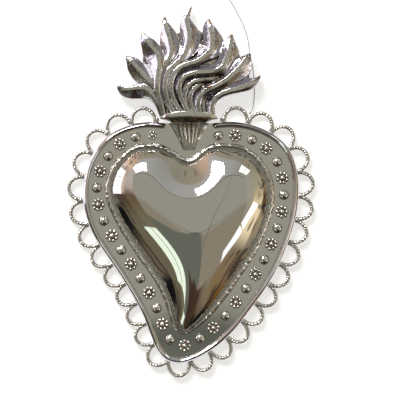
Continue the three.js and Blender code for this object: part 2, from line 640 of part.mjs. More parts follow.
function tongue(stations) {
  const spine = new THREE.CatmullRomCurve3(
    stations.map(([x, y, , , high]) => new THREE.Vector3(flameX(x), flameY(y), high)),
    false,
    'catmullrom',
    0.5,
  );
  const flanks = new THREE.CatmullRomCurve3(
    stations.map(([, , left, right]) => new THREE.Vector3(left, right, 0)),
    false,
    'catmullrom',
    0.5,
  );
  const steps = 2 * (stations.length - 1);
  const rings = [];
  for (let k = 0; k <= steps; k += 1) {
    const t = k / steps;
    const top = spine.getPoint(t);
    const run = spine.getTangent(t).setZ(0).normalize();
    const width = flanks.getPoint(t);
    const side = new THREE.Vector3(-run.y, run.x, 0);
    const peak = FLAME_RISE * top.z;
    const at = (across, z) => {
      const p = top.clone().addScaledVector(side, across);
      p.z = FLAME_BACK + z;
      return p;
    };
    const leftCrest = Math.min(CREST_HALF, CREST_SHARE * width.x);
    const rightCrest = Math.min(CREST_HALF, CREST_SHARE * width.y);
    const leftDrop = Math.min(peak - FLAME_EDGE, LEFT_FALL * (width.x - leftCrest));
    const rightDrop = Math.min(peak - FLAME_EDGE, RIGHT_FALL * (width.y - rightCrest));
    rings.push([
      at(width.x, 0),
      at(width.x, peak - leftDrop),
      at(THREE.MathUtils.lerp(leftCrest, width.x, 0.45), peak - 0.49 * leftDrop),
      at(leftCrest, peak),
      at(-rightCrest, peak),
      at(-THREE.MathUtils.lerp(rightCrest, width.y, 0.45), peak - 0.49 * rightDrop),
      at(-width.y, peak - rightDrop),
      at(-width.y, 0),
    ]);
  }
  return toSolid(capped(rings));
}

function plan(points) {
  return new THREE.Shape(points.map(([x, y]) => new THREE.Vector2(x, y)));
}

function block(shape, low, high) {
  const geometry = new THREE.ExtrudeGeometry(shape, { depth: high - low, bevelEnabled: false });
  return toSolid(geometry.translate(0, 0, low));
}

// Everything on the stem's side of the cup's lip, with the fitting gap
function cupSide() {
  const points = [];
  const reach = cupHalf + FIT_GAP;
  for (let i = 0; i <= CUP_ARC; i += 1) {
    const turn = Math.PI * i / CUP_ARC;
    points.push([STEM_AXIS - reach * Math.cos(turn), cupEnd + FIT_GAP + CUP_BOW * Math.sin(turn)]);
  }
  points.push([STEM_AXIS + reach, stemFoot], [STEM_AXIS - reach, stemFoot]);
  return block(plan(points), -1, FLAME_BACK + FLAME_RISE + CUP_RISE);
}

const webPlan = plan(WEB_OUTLINE.map(([x, y]) => [flameX(x), flameY(y)]));
let flame = block(webPlan, FLAME_BACK, FLAME_BACK + FLAME_WEB);
for (const stations of TONGUES) {
  flame = flame.add(tongue(stations));
}
flame = flame.subtract(cupSide());
add('flame', fromSolid(flame), silver);

// Hanging thread: tied between two loops of the fringe, it lies on the table under the flame's right tips

const knotRadius = KNOT_DIAMETER / 2;
const tied = footAt(footShare(loopTotal - 1));
const loopHalf = fringeRun / loopTotal / 2 - endOffset;
const knotRoom = knotRadius + FIT_GAP + FRINGE_WIRE / 2 - endOffset;
const knotTurn = Math.acos(Math.max(0, 1 - knotRoom / loopHalf));
const knotReach = loopRoot + (LOOP_REACH - loopRoot) * Math.sin(knotTurn);
const knotPlace = tied.place.clone().addScaledVector(tied.out, knotReach);
knotPlace.z = FRINGE_LEVEL;
const THREAD_ROUTE = [
  [1.4, 2.8], [2.3, 9.5], [2.2, 17.6], [1.4, 25.1], [-0.1, 30.9], [-0.7, 36.6], [-1.8, 42.3], [-3.8, 48.1],
  [-6.7, 53.8], [-9.8, 59.5], [-13.1, 64.3], [-16.8, 68.1],
];
const onTable = THREAD_DIAMETER / 2 + 0.1;

const route = THREAD_ROUTE.map(([x, y], i) => new THREE.Vector3(
  knotPlace.x + x,
  knotPlace.y + y,
  i === 0 ? (knotPlace.z + onTable) / 2 : onTable,
));
const leave = route[0].clone().sub(knotPlace).normalize();
const threadStart = knotPlace.clone().addScaledVector(leave, knotRadius + FIT_GAP);
const threadPath = new THREE.CatmullRomCurve3([threadStart, ...route], false, 'centripetal');
const threadShape = new THREE.Shape();
threadShape.absellipse(0, 0, THREAD_DIAMETER / 2, THREAD_DIAMETER / 2, 0, 2 * Math.PI);
const threadSteps = Math.round(threadPath.getLength() / (3 * THREAD_DIAMETER));
const threadForm = { steps: Math.min(threadSteps, 80), curveSegments: 4, extrudePath: threadPath };

function cordPiece(name, geometry) {
  add(name, geometry, nylon);
  cordNodes.add(name);
}

function knot(place, width) {
  const ball = new THREE.SphereGeometry(width / 2, 10, 7);
  return ball.rotateX(Math.PI / 2).translate(place.x, place.y, place.z);
}

const threadEnd = route[route.length - 1];
const lastRun = threadEnd.clone().sub(route[route.length - 2]).normalize();
const endPlace = threadEnd.clone().addScaledVector(lastRun, knotRadius + FIT_GAP);
endPlace.z = knotRadius + 0.1;
cordPiece('hanging_thread', new THREE.ExtrudeGeometry(threadShape, threadForm));
cordPiece('thread_knot', knot(knotPlace, KNOT_DIAMETER));
cordPiece('end_knot', knot(endPlace, KNOT_DIAMETER));

// The origin is under the middle of the metalwork, on the table

const box = new THREE.Box3();
for (const mesh of group.children) {
  if (!cordNodes.has(mesh.name)) {
    box.expandByObject(mesh);
  }
}
const middle = box.getCenter(new THREE.Vector3());
for (const mesh of group.children) {
  mesh.geometry.translate(-middle.x, -middle.y, -box.min.z);
}

export default group;
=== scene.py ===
"""A polished silver flaming-heart ex-voto, lying on its back on a white table."""

import math
from types import SimpleNamespace

import bpy
import numpy as np
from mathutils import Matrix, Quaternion, Vector


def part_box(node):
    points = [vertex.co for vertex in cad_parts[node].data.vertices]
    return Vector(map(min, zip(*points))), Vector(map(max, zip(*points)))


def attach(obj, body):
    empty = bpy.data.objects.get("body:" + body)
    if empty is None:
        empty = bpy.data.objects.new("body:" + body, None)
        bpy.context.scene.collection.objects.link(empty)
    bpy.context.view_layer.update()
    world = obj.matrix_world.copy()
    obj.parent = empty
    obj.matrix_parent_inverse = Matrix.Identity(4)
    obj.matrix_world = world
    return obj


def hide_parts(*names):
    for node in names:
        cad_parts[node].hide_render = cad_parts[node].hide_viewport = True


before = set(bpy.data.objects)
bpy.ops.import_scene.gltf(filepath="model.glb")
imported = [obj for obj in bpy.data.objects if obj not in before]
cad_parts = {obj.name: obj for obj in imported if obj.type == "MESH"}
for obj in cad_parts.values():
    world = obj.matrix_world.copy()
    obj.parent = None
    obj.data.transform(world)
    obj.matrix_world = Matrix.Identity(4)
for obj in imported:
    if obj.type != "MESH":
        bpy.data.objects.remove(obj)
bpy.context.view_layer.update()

bl_info = {
    "name": "Votive Heart",
    "version": (1, 0, 0),
    "blender": (4, 5, 0),
    "location": "3D View > Sidebar > Votive Heart",
    "description": "Builds a polished silver flaming-heart ex-voto piece by piece",
    "category": "Add Mesh",
}

MM = 0.001


# Places and sizes taken from the frame, in millimetres


def node_box(name):
    """Lowest and highest corner of a frame node."""
    low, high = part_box(name)
    return np.array(low) / MM, np.array(high) / MM


def node_middle(name):
    """Middle of a frame node."""
    low, high = node_box(name)
    return (low + high) / 2


PLATE_LOW, PLATE_HIGH = node_box("border_plate")
STEM_LOW, STEM_HIGH = node_box("stem")
CUP_LOW, CUP_HIGH = node_box("cup")
PLATE_TOP = PLATE_HIGH[2]
STEM_AXIS = (STEM_LOW[0] + STEM_HIGH[0]) / 2
CUP_HALF = (CUP_HIGH[0] - CUP_LOW[0]) / 2
FLAME_FOOT = (STEM_AXIS, CUP_HIGH[1])
FLAME_BACK = node_box("flame")[0][2]
STUD_COUNT = 17
FRINGE_LENGTHS = 4
LOOPS_PER_LENGTH = 7
FIT_GAP = 0.3

# Points on the outlines that the pieces follow, and points measured together
FINE_STEPS = 1440
EDGE_STEPS = 480
POINTS_AT_ONCE = 4000

# Grain of the pieces whose forms are run together
FLAME_GRAIN = 0.2
FRINGE_GRAIN = 0.13
KNOT_GRAIN = 0.09

# Photograph's framing, in pixels and millimetres
PHOTO_PIXELS = 400
PIXEL_SIZE = 0.5372
PHOTO_CENTRE = (4.9, -3.9)

# Outlines as drawn, counter-clockwise from the top of the heart
PLATE_OUTLINE = [
    (-1.5, 36.8), (-13.3, 37.4), (-25.1, 38.0), (-34.8, 36.0), (-43.9, 31.5), (-50.9, 24.3),
    (-55.8, 15.1), (-58.2, 3.3), (-57.6, -8.6), (-53.3, -21.5), (-45.9, -33.3), (-38.0, -44.9),
    (-31.3, -55.9), (-25.9, -66.3), (-21.9, -76.8), (-18.4, -84.6), (-13.3, -90.0), (-6.3, -91.5),
    (1.7, -89.3), (12.6, -83.0), (22.4, -74.1), (30.9, -63.2), (39.1, -52.0), (46.0, -40.0),
    (51.1, -27.9), (55.2, -15.0), (57.1, -2.1), (56.5, 10.8), (53.0, 22.1), (46.3, 29.8), (35.6, 35.5),
    (23.2, 38.1), (10.9, 37.5),
]
HEART_OUTLINE = [
    (-1.8, 18.6), (-8.5, 22.2), (-15.5, 25.7), (-23.5, 26.8), (-31.6, 25.2), (-39.1, 19.3),
    (-44.2, 11.8), (-46.5, 2.7), (-45.4, -5.3), (-40.2, -16.9), (-32.7, -29.0), (-25.1, -40.0),
    (-18.4, -50.2), (-13.9, -60.7), (-10.9, -69.5), (-7.7, -74.6), (-3.1, -76.0), (2.3, -72.9),
    (10.3, -66.0), (18.9, -55.8), (27.2, -43.7), (34.5, -32.2), (39.9, -20.4), (43.4, -9.6),
    (44.3, 0.3), (42.2, 10.2), (36.6, 18.9), (28.3, 25.0), (18.4, 26.8), (8.7, 25.6),
]
DOME_CENTRE = (-2.0, -10.5)

# Heart: slope at its foot, how far the cleft holds it down and how wide, heights where painted shade
# darkens its foot
FOOT_SLOPE = 0.92
CLEFT_HOLD = 0.8
CLEFT_WIDTH = 13.0
HEART_SHADE = (0.1, 0.8)

# Rim and moulding: roundness, the rim's length and rounded ends, the moulding's tip and marks,
# and how far across them the painted shade at the inner foot begins
RIDGE_ROUND = 1.2
RIDGE_STEPS = 25
RIM_RUN = 380.0
RIM_END = 1.5
RIM_SHADE = 0.86
MOULDING_SHADE = 0.84
MOULDING_TIP = 0.12
MARK_PITCHES = (2.6, 3.7, 5.9)
MARK_DEPTH = 0.2

# Fringe: how far the loops' feet crowd to one side, hammer marks along the wire
FOOT_CROWDING = 0.009
HAMMER_DEPTH = 0.13
HAMMER_PITCH = 1.6

# Stem: flutes, share of its height at the foot, width of its sloping sides
STEM_FLUTES = 5
STEM_FOOT = 0.05
STEM_SIDE = 1.5

# Tongues of the flame from the middle of the cup's lip: x, y, left flank, right flank, height
TONGUES = [
    [
        (-13.5, -2.3, 2.1, 1.6, 0.6), (-15.6, 4.9, 3.0, 1.6, 0.74), (-17.7, 8.0, 3.6, 1.8, 0.8),
        (-20.4, 10.9, 4.6, 2.2, 0.82), (-23.3, 12.4, 5.3, 2.4, 0.81), (-27.0, 12.7, 5.6, 1.9, 0.79),
        (-31.3, 12.3, 5.1, 1.4, 0.74), (-34.6, 12.5, 4.1, 1.2, 0.66), (-36.8, 13.5, 2.4, 0.9, 0.58),
        (-38.1, 14.5, 0.3, 0.3, 0.5),
    ],
    [
        (-18.8, 12.5, 2.6, 1.6, 0.86), (-20.6, 16.2, 4.2, 1.8, 0.92), (-23.3, 18.9, 5.4, 2.4, 0.92),
        (-26.5, 22.4, 5.6, 3.6, 0.88), (-29.7, 26.0, 4.4, 3.4, 0.78), (-31.9, 28.1, 2.3, 1.9, 0.66),
        (-33.6, 29.9, 0.3, 0.3, 0.5),
    ],
    [
        (-13.5, -2.3, 1.8, 1.5, 0.6), (-15.3, 5.6, 1.8, 1.5, 0.78), (-16.7, 10.3, 1.8, 1.7, 0.9),
        (-16.9, 14.5, 2.2, 1.9, 0.97), (-16.4, 19.8, 3.4, 2.6, 1.0), (-15.6, 24.6, 6.5, 2.8, 1.0),
        (-16.3, 29.4, 9.2, 3.0, 0.98), (-18.2, 32.9, 8.2, 3.4, 0.92), (-20.6, 35.8, 5.8, 3.4, 0.84),
        (-22.8, 38.5, 3.6, 2.4, 0.74), (-24.1, 40.7, 1.9, 1.2, 0.62), (-25.1, 42.8, 0.3, 0.3, 0.5),
    ],
    [
        (-15.1, 10.6, 0.6, 0.6, 0.55), (-14.9, 16.9, 1.2, 1.2, 0.72), (-14.0, 21.8, 2.4, 1.6, 0.86),
        (-11.8, 25.7, 3.8, 1.8, 0.94), (-9.9, 28.9, 5.0, 2.2, 0.98), (-9.1, 32.6, 6.2, 3.6, 0.99),
        (-9.6, 36.3, 6.0, 4.4, 0.96), (-10.8, 40.7, 4.9, 4.3, 0.9), (-12.0, 44.5, 3.4, 3.0, 0.8),
        (-12.7, 47.9, 1.8, 1.4, 0.68), (-12.9, 50.7, 0.4, 0.4, 0.5),
    ],
    [
        (-6.0, -2.3, 2.0, 1.4, 0.6), (-10.3, 3.8, 2.2, 1.4, 0.74), (-12.1, 8.8, 2.4, 1.4, 0.86),
        (-12.6, 14.0, 2.8, 1.6, 0.94), (-11.5, 19.3, 2.6, 1.8, 0.99), (-8.1, 24.1, 3.0, 1.8, 1.0),
        (-4.1, 27.8, 4.6, 2.0, 1.0), (-1.2, 32.3, 5.4, 4.6, 0.99), (0.1, 37.4, 6.0, 7.6, 0.96),
        (0.2, 42.3, 5.3, 5.2, 0.9), (-0.8, 46.4, 4.2, 3.6, 0.82), (-1.1, 49.7, 2.5, 2.0, 0.74),
        (-0.1, 53.0, 1.2, 1.0, 0.62), (1.2, 56.4, 0.4, 0.4, 0.5),
    ],
    [
        (-2.0, -2.3, 1.4, 1.2, 0.6), (-6.3, 3.5, 1.6, 1.2, 0.74), (-8.7, 8.5, 1.9, 1.3, 0.86),
        (-9.5, 14.0, 2.6, 1.4, 0.94), (-8.3, 19.3, 2.6, 1.6, 0.99), (-4.9, 23.1, 2.2, 1.7, 1.0),
        (-0.4, 25.1, 2.2, 1.8, 1.0), (4.4, 26.6, 2.4, 1.8, 1.0), (8.7, 29.7, 4.6, 2.6, 0.98),
        (11.9, 33.2, 5.2, 5.4, 0.95), (12.5, 37.5, 4.6, 6.2, 0.9), (11.9, 42.4, 4.6, 4.0, 0.82),
        (11.0, 46.3, 3.4, 1.9, 0.68), (10.7, 49.7, 0.4, 0.4, 0.5),
    ],
    [
        (0.7, -2.3, 1.2, 1.2, 0.6), (-2.8, 4.6, 1.5, 1.2, 0.74), (-4.7, 9.6, 1.9, 1.2, 0.86),
        (-4.8, 14.6, 2.8, 1.3, 0.94), (-2.0, 18.4, 3.6, 1.4, 1.0), (3.3, 20.3, 4.4, 1.4, 1.0),
        (9.2, 20.8, 4.4, 1.4, 1.0), (14.5, 21.5, 4.2, 1.7, 0.98), (18.3, 24.1, 4.4, 4.6, 0.96),
        (20.1, 28.1, 4.2, 6.4, 0.92), (21.6, 32.7, 3.4, 5.6, 0.85), (22.4, 37.4, 2.9, 2.6, 0.7),
        (22.9, 41.7, 0.4, 0.4, 0.5),
    ],
    [
        (1.7, -2.3, 1.1, 1.1, 0.56), (-1.4, 3.1, 1.1, 1.1, 0.66), (-2.3, 7.8, 1.6, 1.1, 0.76),
        (-0.9, 12.5, 2.2, 1.1, 0.84), (2.5, 15.6, 2.8, 1.1, 0.87), (7.6, 16.7, 2.8, 1.0, 0.85),
        (12.4, 17.4, 2.2, 0.9, 0.78), (16.4, 19.1, 0.3, 0.3, 0.62),
    ],
    [
        (3.9, -2.3, 1.2, 1.2, 0.56), (1.4, 3.6, 1.6, 1.2, 0.66), (0.8, 7.8, 2.2, 1.2, 0.74),
        (2.3, 11.5, 1.8, 1.2, 0.78), (5.2, 13.8, 1.6, 1.1, 0.76), (7.3, 14.3, 0.9, 0.9, 0.7),
        (8.9, 14.1, 0.3, 0.3, 0.6),
    ],
    [
        (6.5, -2.3, 1.6, 1.5, 0.58), (5.0, 3.6, 2.6, 1.6, 0.7), (6.3, 8.3, 3.4, 1.8, 0.78),
        (9.7, 11.4, 3.4, 2.0, 0.85), (14.5, 13.6, 3.2, 2.6, 0.89), (19.3, 16.4, 3.6, 3.6, 0.91),
        (23.8, 20.2, 4.6, 5.6, 0.9), (27.3, 23.8, 4.4, 6.4, 0.86), (30.0, 27.4, 3.0, 4.6, 0.76),
        (31.8, 29.8, 1.4, 2.2, 0.64), (33.0, 31.0, 0.4, 0.4, 0.5),
    ],
    [
        (12.7, -2.3, 1.9, 1.4, 0.58), (12.6, 3.6, 3.6, 1.6, 0.66), (14.3, 7.0, 3.8, 1.7, 0.72),
        (17.5, 9.5, 3.6, 1.9, 0.76), (22.0, 11.2, 3.8, 2.0, 0.78), (27.3, 12.5, 5.2, 2.2, 0.76),
        (31.9, 14.3, 5.4, 2.7, 0.7), (35.4, 16.7, 1.7, 2.0, 0.6), (38.4, 19.3, 0.3, 0.3, 0.5),
    ],
]

# Each tongue: its flat crest, the scoop and the steepest fall of its flanks, the share of points
# on the crest, how far painted shade reaches from its tip
CREST_HALF = 0.95
CREST_SHARE = 0.5
FLANK_HOLLOW = 1.12
LEFT_FALL = 0.8
RIGHT_FALL = 0.8
CREST_STEPS = 0.2
TIP_SHADE_REACH = 5.0

# Thin ground between the tongues
FLAME_WEB_OUTLINE = [
    (-14.5, -2.3), (-18.7, 6.2), (-22.5, 13.7), (-19.8, 19.6), (-19.2, 26.6), (-14.9, 29.8),
    (-13.3, 36.3), (-6.9, 42.4), (-1.5, 43.8), (5.2, 44.1), (9.2, 41.1), (17.8, 37.9), (21.6, 32.5),
    (28.0, 30.1), (29.7, 25.0), (32.6, 18.5), (26.4, 14.0), (17.8, 11.0), (13.5, 6.7), (12.9, -2.3),
]

# Thread's route on the table, from its knot at the fringe, and its lift off the table
THREAD_ROUTE = [
    (1.4, 2.8), (2.3, 9.5), (2.2, 17.6), (1.4, 25.1), (-0.1, 30.9), (-0.7, 36.6), (-1.8, 42.3),
    (-3.8, 48.1), (-6.7, 53.8), (-9.8, 59.5), (-13.1, 64.3), (-16.8, 68.1),
]
THREAD_LIFT = 0.1

# Room: a ceiling one unit above the table, walls all round it, directions in degrees from +X.
# Pairs are where a step begins and ends, across and along the ceiling or up the walls.
ROOM_HEIGHT = 1.5
WALL_REACH = {0: 1.5, 90: 0.78, 180: 1.35, 270: 0.95}
TABLE_GLOW = 0.58
TABLE_REACH = 6.0
LOWEST_VIEW = 0.03
BASE_TOP = (0.1, 0.13)
LOW_TOP = (0.3, 0.36)
CLUTTER_SCALE = (8, 8, 22)
CLUTTER_EDGE = (0.4, 0.46)
CLUTTER_TOP = (0.16, 0.26)
CLUTTER_DARK = 0.75
CEILING_SLANT = 0.45
CEILING_WEST = (-1.4, -1.3)
CEILING_EAST = (-1.8, -1.7)
CEILING_NORTH = (-1.07, -1.03)
DARK_END = (0.67, 0.72)
DARK_END_WEST = (-0.64, -0.56)
WARM_END = (0.13, 0.2)
DIM_END = (0.078, 0.11)
DIM_SLANT = 0.4
DIM_EAST = 0.1
DIM_FADE = 0.12

# Seams of the ceiling: way they are measured, place, half width, darkness
SEAMS = (("along", 1.05, 0.07, 0.5), ("along", -0.12, 0.015, 0.3), ("across", 0.26, 0.015, 0.4))

# Walls from above to below: direction, colour
HIGH_WALL = [
    (0, (0.36, 0.33, 0.27)), (30, (0.34, 0.32, 0.26)), (60, (0.30, 0.30, 0.28)),
    (85, (0.36, 0.36, 0.35)), (115, (0.40, 0.39, 0.38)), (150, (0.48, 0.44, 0.41)),
    (170, (0.45, 0.38, 0.33)), (186, (0.14, 0.10, 0.07)), (197, (0.14, 0.10, 0.06)),
    (208, (0.17, 0.15, 0.10)), (226, (0.13, 0.12, 0.09)), (235, (0.06, 0.035, 0.025)),
    (265, (0.05, 0.03, 0.022)), (305, (0.06, 0.035, 0.02)), (318, (0.24, 0.20, 0.15)),
    (340, (0.29, 0.26, 0.21)), (360, (0.36, 0.33, 0.27)),
]
LOW_WALL = [
    (0, (0.55, 0.45, 0.28)), (14, (0.38, 0.34, 0.23)), (45, (0.29, 0.26, 0.19)),
    (70, (0.26, 0.25, 0.20)), (110, (0.33, 0.28, 0.21)), (128, (0.55, 0.40, 0.30)),
    (136, (0.72, 0.52, 0.38)), (144, (0.45, 0.35, 0.30)), (160, (0.62, 0.50, 0.44)),
    (182, (0.58, 0.45, 0.38)), (188, (0.08, 0.06, 0.045)), (200, (0.09, 0.065, 0.04)),
    (210, (0.15, 0.13, 0.085)), (235, (0.12, 0.10, 0.06)), (252, (0.03, 0.02, 0.015)),
    (306, (0.02, 0.015, 0.01)), (315, (0.20, 0.16, 0.10)), (321, (0.22, 0.15, 0.07)),
    (328, (0.24, 0.19, 0.13)), (336, (0.85, 0.72, 0.50)), (352, (0.88, 0.74, 0.46)),
    (360, (0.55, 0.45, 0.28)),
]
BASE_WALL = [
    (0, (0.12, 0.07, 0.04)), (17, (0.36, 0.26, 0.15)), (32, (0.08, 0.07, 0.06)),
    (46, (0.24, 0.23, 0.18)), (70, (0.15, 0.15, 0.14)), (78, (0.03, 0.03, 0.03)),
    (90, (0.16, 0.14, 0.12)), (106, (0.25, 0.21, 0.18)), (122, (0.12, 0.09, 0.08)),
    (134, (0.75, 0.55, 0.42)), (150, (0.80, 0.76, 0.80)), (180, (0.80, 0.76, 0.80)),
    (187, (0.10, 0.08, 0.08)), (196, (0.17, 0.15, 0.13)), (203, (0.006, 0.006, 0.007)),
    (211, (0.01, 0.009, 0.01)), (217, (0.18, 0.14, 0.09)), (230, (0.07, 0.05, 0.03)),
    (250, (0.01, 0.01, 0.01)), (313, (0.004, 0.005, 0.006)), (320, (0.16, 0.08, 0.025)),
    (332, (0.26, 0.22, 0.16)), (341, (0.36, 0.28, 0.18)), (350, (0.10, 0.055, 0.02)),
    (360, (0.12, 0.07, 0.04)),
]

# Windows: name, wall, along the wall, level, width, height, slant, columns, rows, colour, brightness
PANE_BAR = 0.03
WINDOWS = [
    ("window_north_west", 90, 0.43, 0.53, 0.66, 0.28, 0, 2, 2, (1.0, 0.99, 0.97), 22.0),
    ("window_north_east", 90, -0.74, 0.47, 0.5, 0.28, 0, 2, 1, (0.90, 1.0, 0.93), 1.3),
    ("window_east", 0, -0.64, 0.56, 1.0, 0.25, 21, 2, 1, (0.84, 0.89, 1.0), 1.0),
    ("window_west", 180, -0.38, 0.19, 1.1, 0.36, 0, 3, 1, (0.94, 0.92, 1.0), 1.15),
    ("window_south", 270, -1.17, 0.76, 0.78, 0.6, 0, 1, 2, (0.80, 0.94, 0.83), 0.95),
]


def turn_stops(stops):
    """Wall colours by direction as a ramp's stops."""
    return [(degrees / 360, (*tone, 1.0)) for degrees, tone in stops]


# Sizes and colours that a user would change


def length(name, description, millimetres):
    """A length property."""
    return bpy.props.FloatProperty(
        name=name, description=description, default=millimetres * MM, min=0.0, precision=5, unit="LENGTH"
    )


def colour(name, description, red, green, blue):
    """A colour property."""
    return bpy.props.FloatVectorProperty(
        name=name,
        description=description,
        default=(red, green, blue),
        min=0.0,
        max=1.0,
        size=3,
        subtype="COLOR",
    )


class VotiveSizes(bpy.types.PropertyGroup):
    """Sizes of the heart's pieces"""

    sheet: length("Sheet", "Thickness of the border plate", 1.0)
    skirt: length("Skirt", "Thickness of the plate's turned-down edge", 1.4)
    rim_width: length("Rim width", "Width of the rounded rim wire", 3.0)
    rim_height: length("Rim height", "Height of the rounded rim wire", 1.2)
    rim_stop: length("Rim stop", "Ends of the rim wire from the stem's sides", 1.5)
    moulding_width: length("Moulding width", "Width of the moulding round the heart", 3.0)
    moulding_height: length("Moulding height", "Height of the moulding round the heart", 1.2)
    dome_rise: length("Heart rise", "Height of the heart above the plate", 15.0)
    dome_wall: length("Heart wall", "Thickness of the heart's shell", 1.0)
    dome_ledge: length("Heart ledge", "Plate showing inside the heart's foot", 0.6)
    boss_diameter: length("Boss diameter", "Diameter of a plain stud", 5.4)
    rosette_diameter: length("Rosette diameter", "Diameter of a rosette stud", 7.0)
    rosette_height: length("Rosette height", "Height of a rosette's centre bead", 1.8)
    fringe_wire: length("Fringe wire", "Thickness of the fringe wire", 1.9)
    fringe_level: length("Fringe level", "Middle of the fringe wire above the table", 2.0)
    fringe_left: length("Fringe left", "First foot of the fringe from the stem's axis", 17.6)
    fringe_right: length("Fringe right", "Last foot of the fringe from the stem's axis", 18.4)
    loop_reach: length("Loop reach", "Middle of a loop's wire beyond the plate's edge", 8.3)
    stem_foot_width: length("Stem foot", "Width of the stem at its lower end", 6.6)
    stem_rise: length("Stem rise", "Height of the stem above the plate", 5.6)
    cup_neck_width: length("Cup neck", "Width of the cup where it meets the stem", 18.4)
    cup_depth: length("Cup depth", "From the cup's neck to the ends of its lip", 2.4)
    flame_rise: length("Flame rise", "Highest crest above the flame's back", 8.4)
    flame_edge: length("Flame edge", "Thickness of the flame's rim", 1.7)
    flame_web: length("Flame web", "Thickness between the tongues", 1.6)
    thread_diameter: length("Thread diameter", "Thickness of the hanging thread", 0.6)
    thread_length: length("Thread length", "Length of the hanging thread between its knots", 70.5)
    knot_diameter: length("Knot diameter", "Thickness of a knot in the thread", 1.5)
    camera_height: length("Camera height", "Camera above the table", 600.0)


class VotiveColours(bpy.types.PropertyGroup):
    """Colours of the heart's finishes and of the room that it mirrors"""

    silver: colour("Silver", "Polished silver plate", 0.92, 0.90, 0.86)
    # Also the colour of painted shade: it darkens creases, feet and steep sides
    patina_and_shade: colour("Patina", "Darkened silver in the hollows", 0.09, 0.075, 0.06)
    # Tints part of the darkening golden brown at random, painted shade included
    stain: colour("Stain", "Golden brown stain in some of the hollows", 0.38, 0.24, 0.13)
    # Painted reflection: a violet sheen painted onto the sloping sides of the reliefs
    sheen: colour("Bloom", "Violet bloom on the sides of the reliefs", 0.72, 0.70, 0.88)
    nylon: colour("Nylon", "Clear hanging thread", 0.93, 0.95, 0.98)
    table: colour("Table", "White table under the heart", 0.93, 0.93, 0.93)
    ceiling: colour("Ceiling", "Ceiling straight above the heart", 0.31, 0.305, 0.26)
    ceiling_warm: colour("Warm ceiling", "Ceiling towards the warm end of the room", 0.26, 0.23, 0.175)
    ceiling_dim: colour("Dim ceiling", "Ceiling at the dim end of the room", 0.135, 0.143, 0.12)
    shade: colour("Shade", "Seams of the ceiling", 0.02, 0.02, 0.022)


def sizes_of(context):
    """The sizes in millimetres."""
    group = context.scene.votive_sizes
    return SimpleNamespace(**{key: getattr(group, key) / MM for key in VotiveSizes.__annotations__})


def paint(colour_value):
    """A colour property as the four numbers that a socket takes."""
    return (*colour_value, 1.0)


# Curves and skins


def unit(rows):
    """Rows scaled to length one."""
    return rows / np.linalg.norm(rows, axis=-1, keepdims=True)


def smooth_path(points, count, closed=False, power=0.5):
    """Evenly spaced points on a smooth curve through the given ones."""
    knots = np.asarray(points, float)
    if closed:
        knots = np.vstack([knots[-1:], knots, knots[:2]])
    else:
        knots = np.vstack([2 * knots[:1] - knots[1:2], knots, 2 * knots[-1:] - knots[-2:-1]])
    t = np.linspace(0, 1, 40, endpoint=False)[:, None]
    dense = []
    for a, b, c, d in zip(knots, knots[1:], knots[2:], knots[3:]):
        ab, bc, cd = (max(np.linalg.norm(q - p), 1e-6) ** power for p, q in ((a, b), (b, c), (c, d)))
        leave = ((b - a) / ab - (c - a) / (ab + bc) + (c - b) / bc) * bc
        arrive = ((c - b) / bc - (d - b) / (bc + cd) + (d - c) / cd) * bc
        share = t * t * (3 - 2 * t)
        dense.append(b + (c - b) * share + leave * t * (1 - t) ** 2 - arrive * t * t * (1 - t))
    dense = np.vstack(dense + [knots[-2:-1]])
    run = np.concatenate([[0], np.cumsum(np.linalg.norm(np.diff(dense, axis=0), axis=1))])
    at = np.linspace(0, run[-1], count, endpoint=not closed)
    return np.column_stack([np.interp(at, run, column) for column in dense.T])


def left_of(run):
    """Flat directions turned a quarter to the left."""
    return np.column_stack([-run[:, 1], run[:, 0]])


def inset(ring, distance):
    """A counter-clockwise closed outline moved inward."""
    inward = left_of(unit(np.roll(ring, -1, 0) - np.roll(ring, 1, 0)))
    return ring + inward * np.reshape(distance, (-1, 1))


def at_height(ring, z):
    """A flat outline lifted to a height."""
    return np.column_stack([ring, np.full(len(ring), z)])


def circle(radius, turns, z):
    """Points round the Z axis; the radius and the height may vary with the turn."""
    return np.column_stack([radius * np.cos(turns), radius * np.sin(turns), np.zeros(len(turns)) + z])


def ease(value, low, high):
    """A smooth step from 0 to 1."""
    share = np.clip((np.asarray(value, float) - low) / (high - low), 0, 1)
    return share * share * (3 - 2 * share)


def skin(rings, loop=False):
    """Points and faces of a skin over rings of equal length; a ring of one point closes an end."""
    points = np.vstack(rings)
    starts = np.cumsum([0] + [len(ring) for ring in rings])
    faces = []
    pairs = list(zip(range(len(rings)), range(1, len(rings))))
    if loop:
        pairs.append((len(rings) - 1, 0))
    for k, m in pairs:
        count = max(len(rings[k]), len(rings[m]))
        i = np.arange(count)
        j = (i + 1) % count
        a, b = starts[k], starts[m]
        if len(rings[k]) == 1:
            faces.append(np.column_stack([np.full(count, a), b + j, b + i]))
        elif len(rings[m]) == 1:
            faces.append(np.column_stack([a + i, a + j, np.full(count, b)]))
        else:
            faces.append(np.column_stack([a + i, a + j, b + j, b + i]))
    return points, [face for group in faces for face in group.tolist()]


def capped(rings):
    """A skin over open rings with both ends closed."""
    first = rings[0].mean(0, keepdims=True)
    last = rings[-1].mean(0, keepdims=True)
    return skin([first, *rings, last])


def joined(parts):
    """Several sets of points and faces as one."""
    points, faces, start = [], [], 0
    for part_points, part_faces in parts:
        points.append(part_points)
        faces.extend([[corner + start for corner in face] for face in part_faces])
        start += len(part_points)
    return np.vstack(points), faces


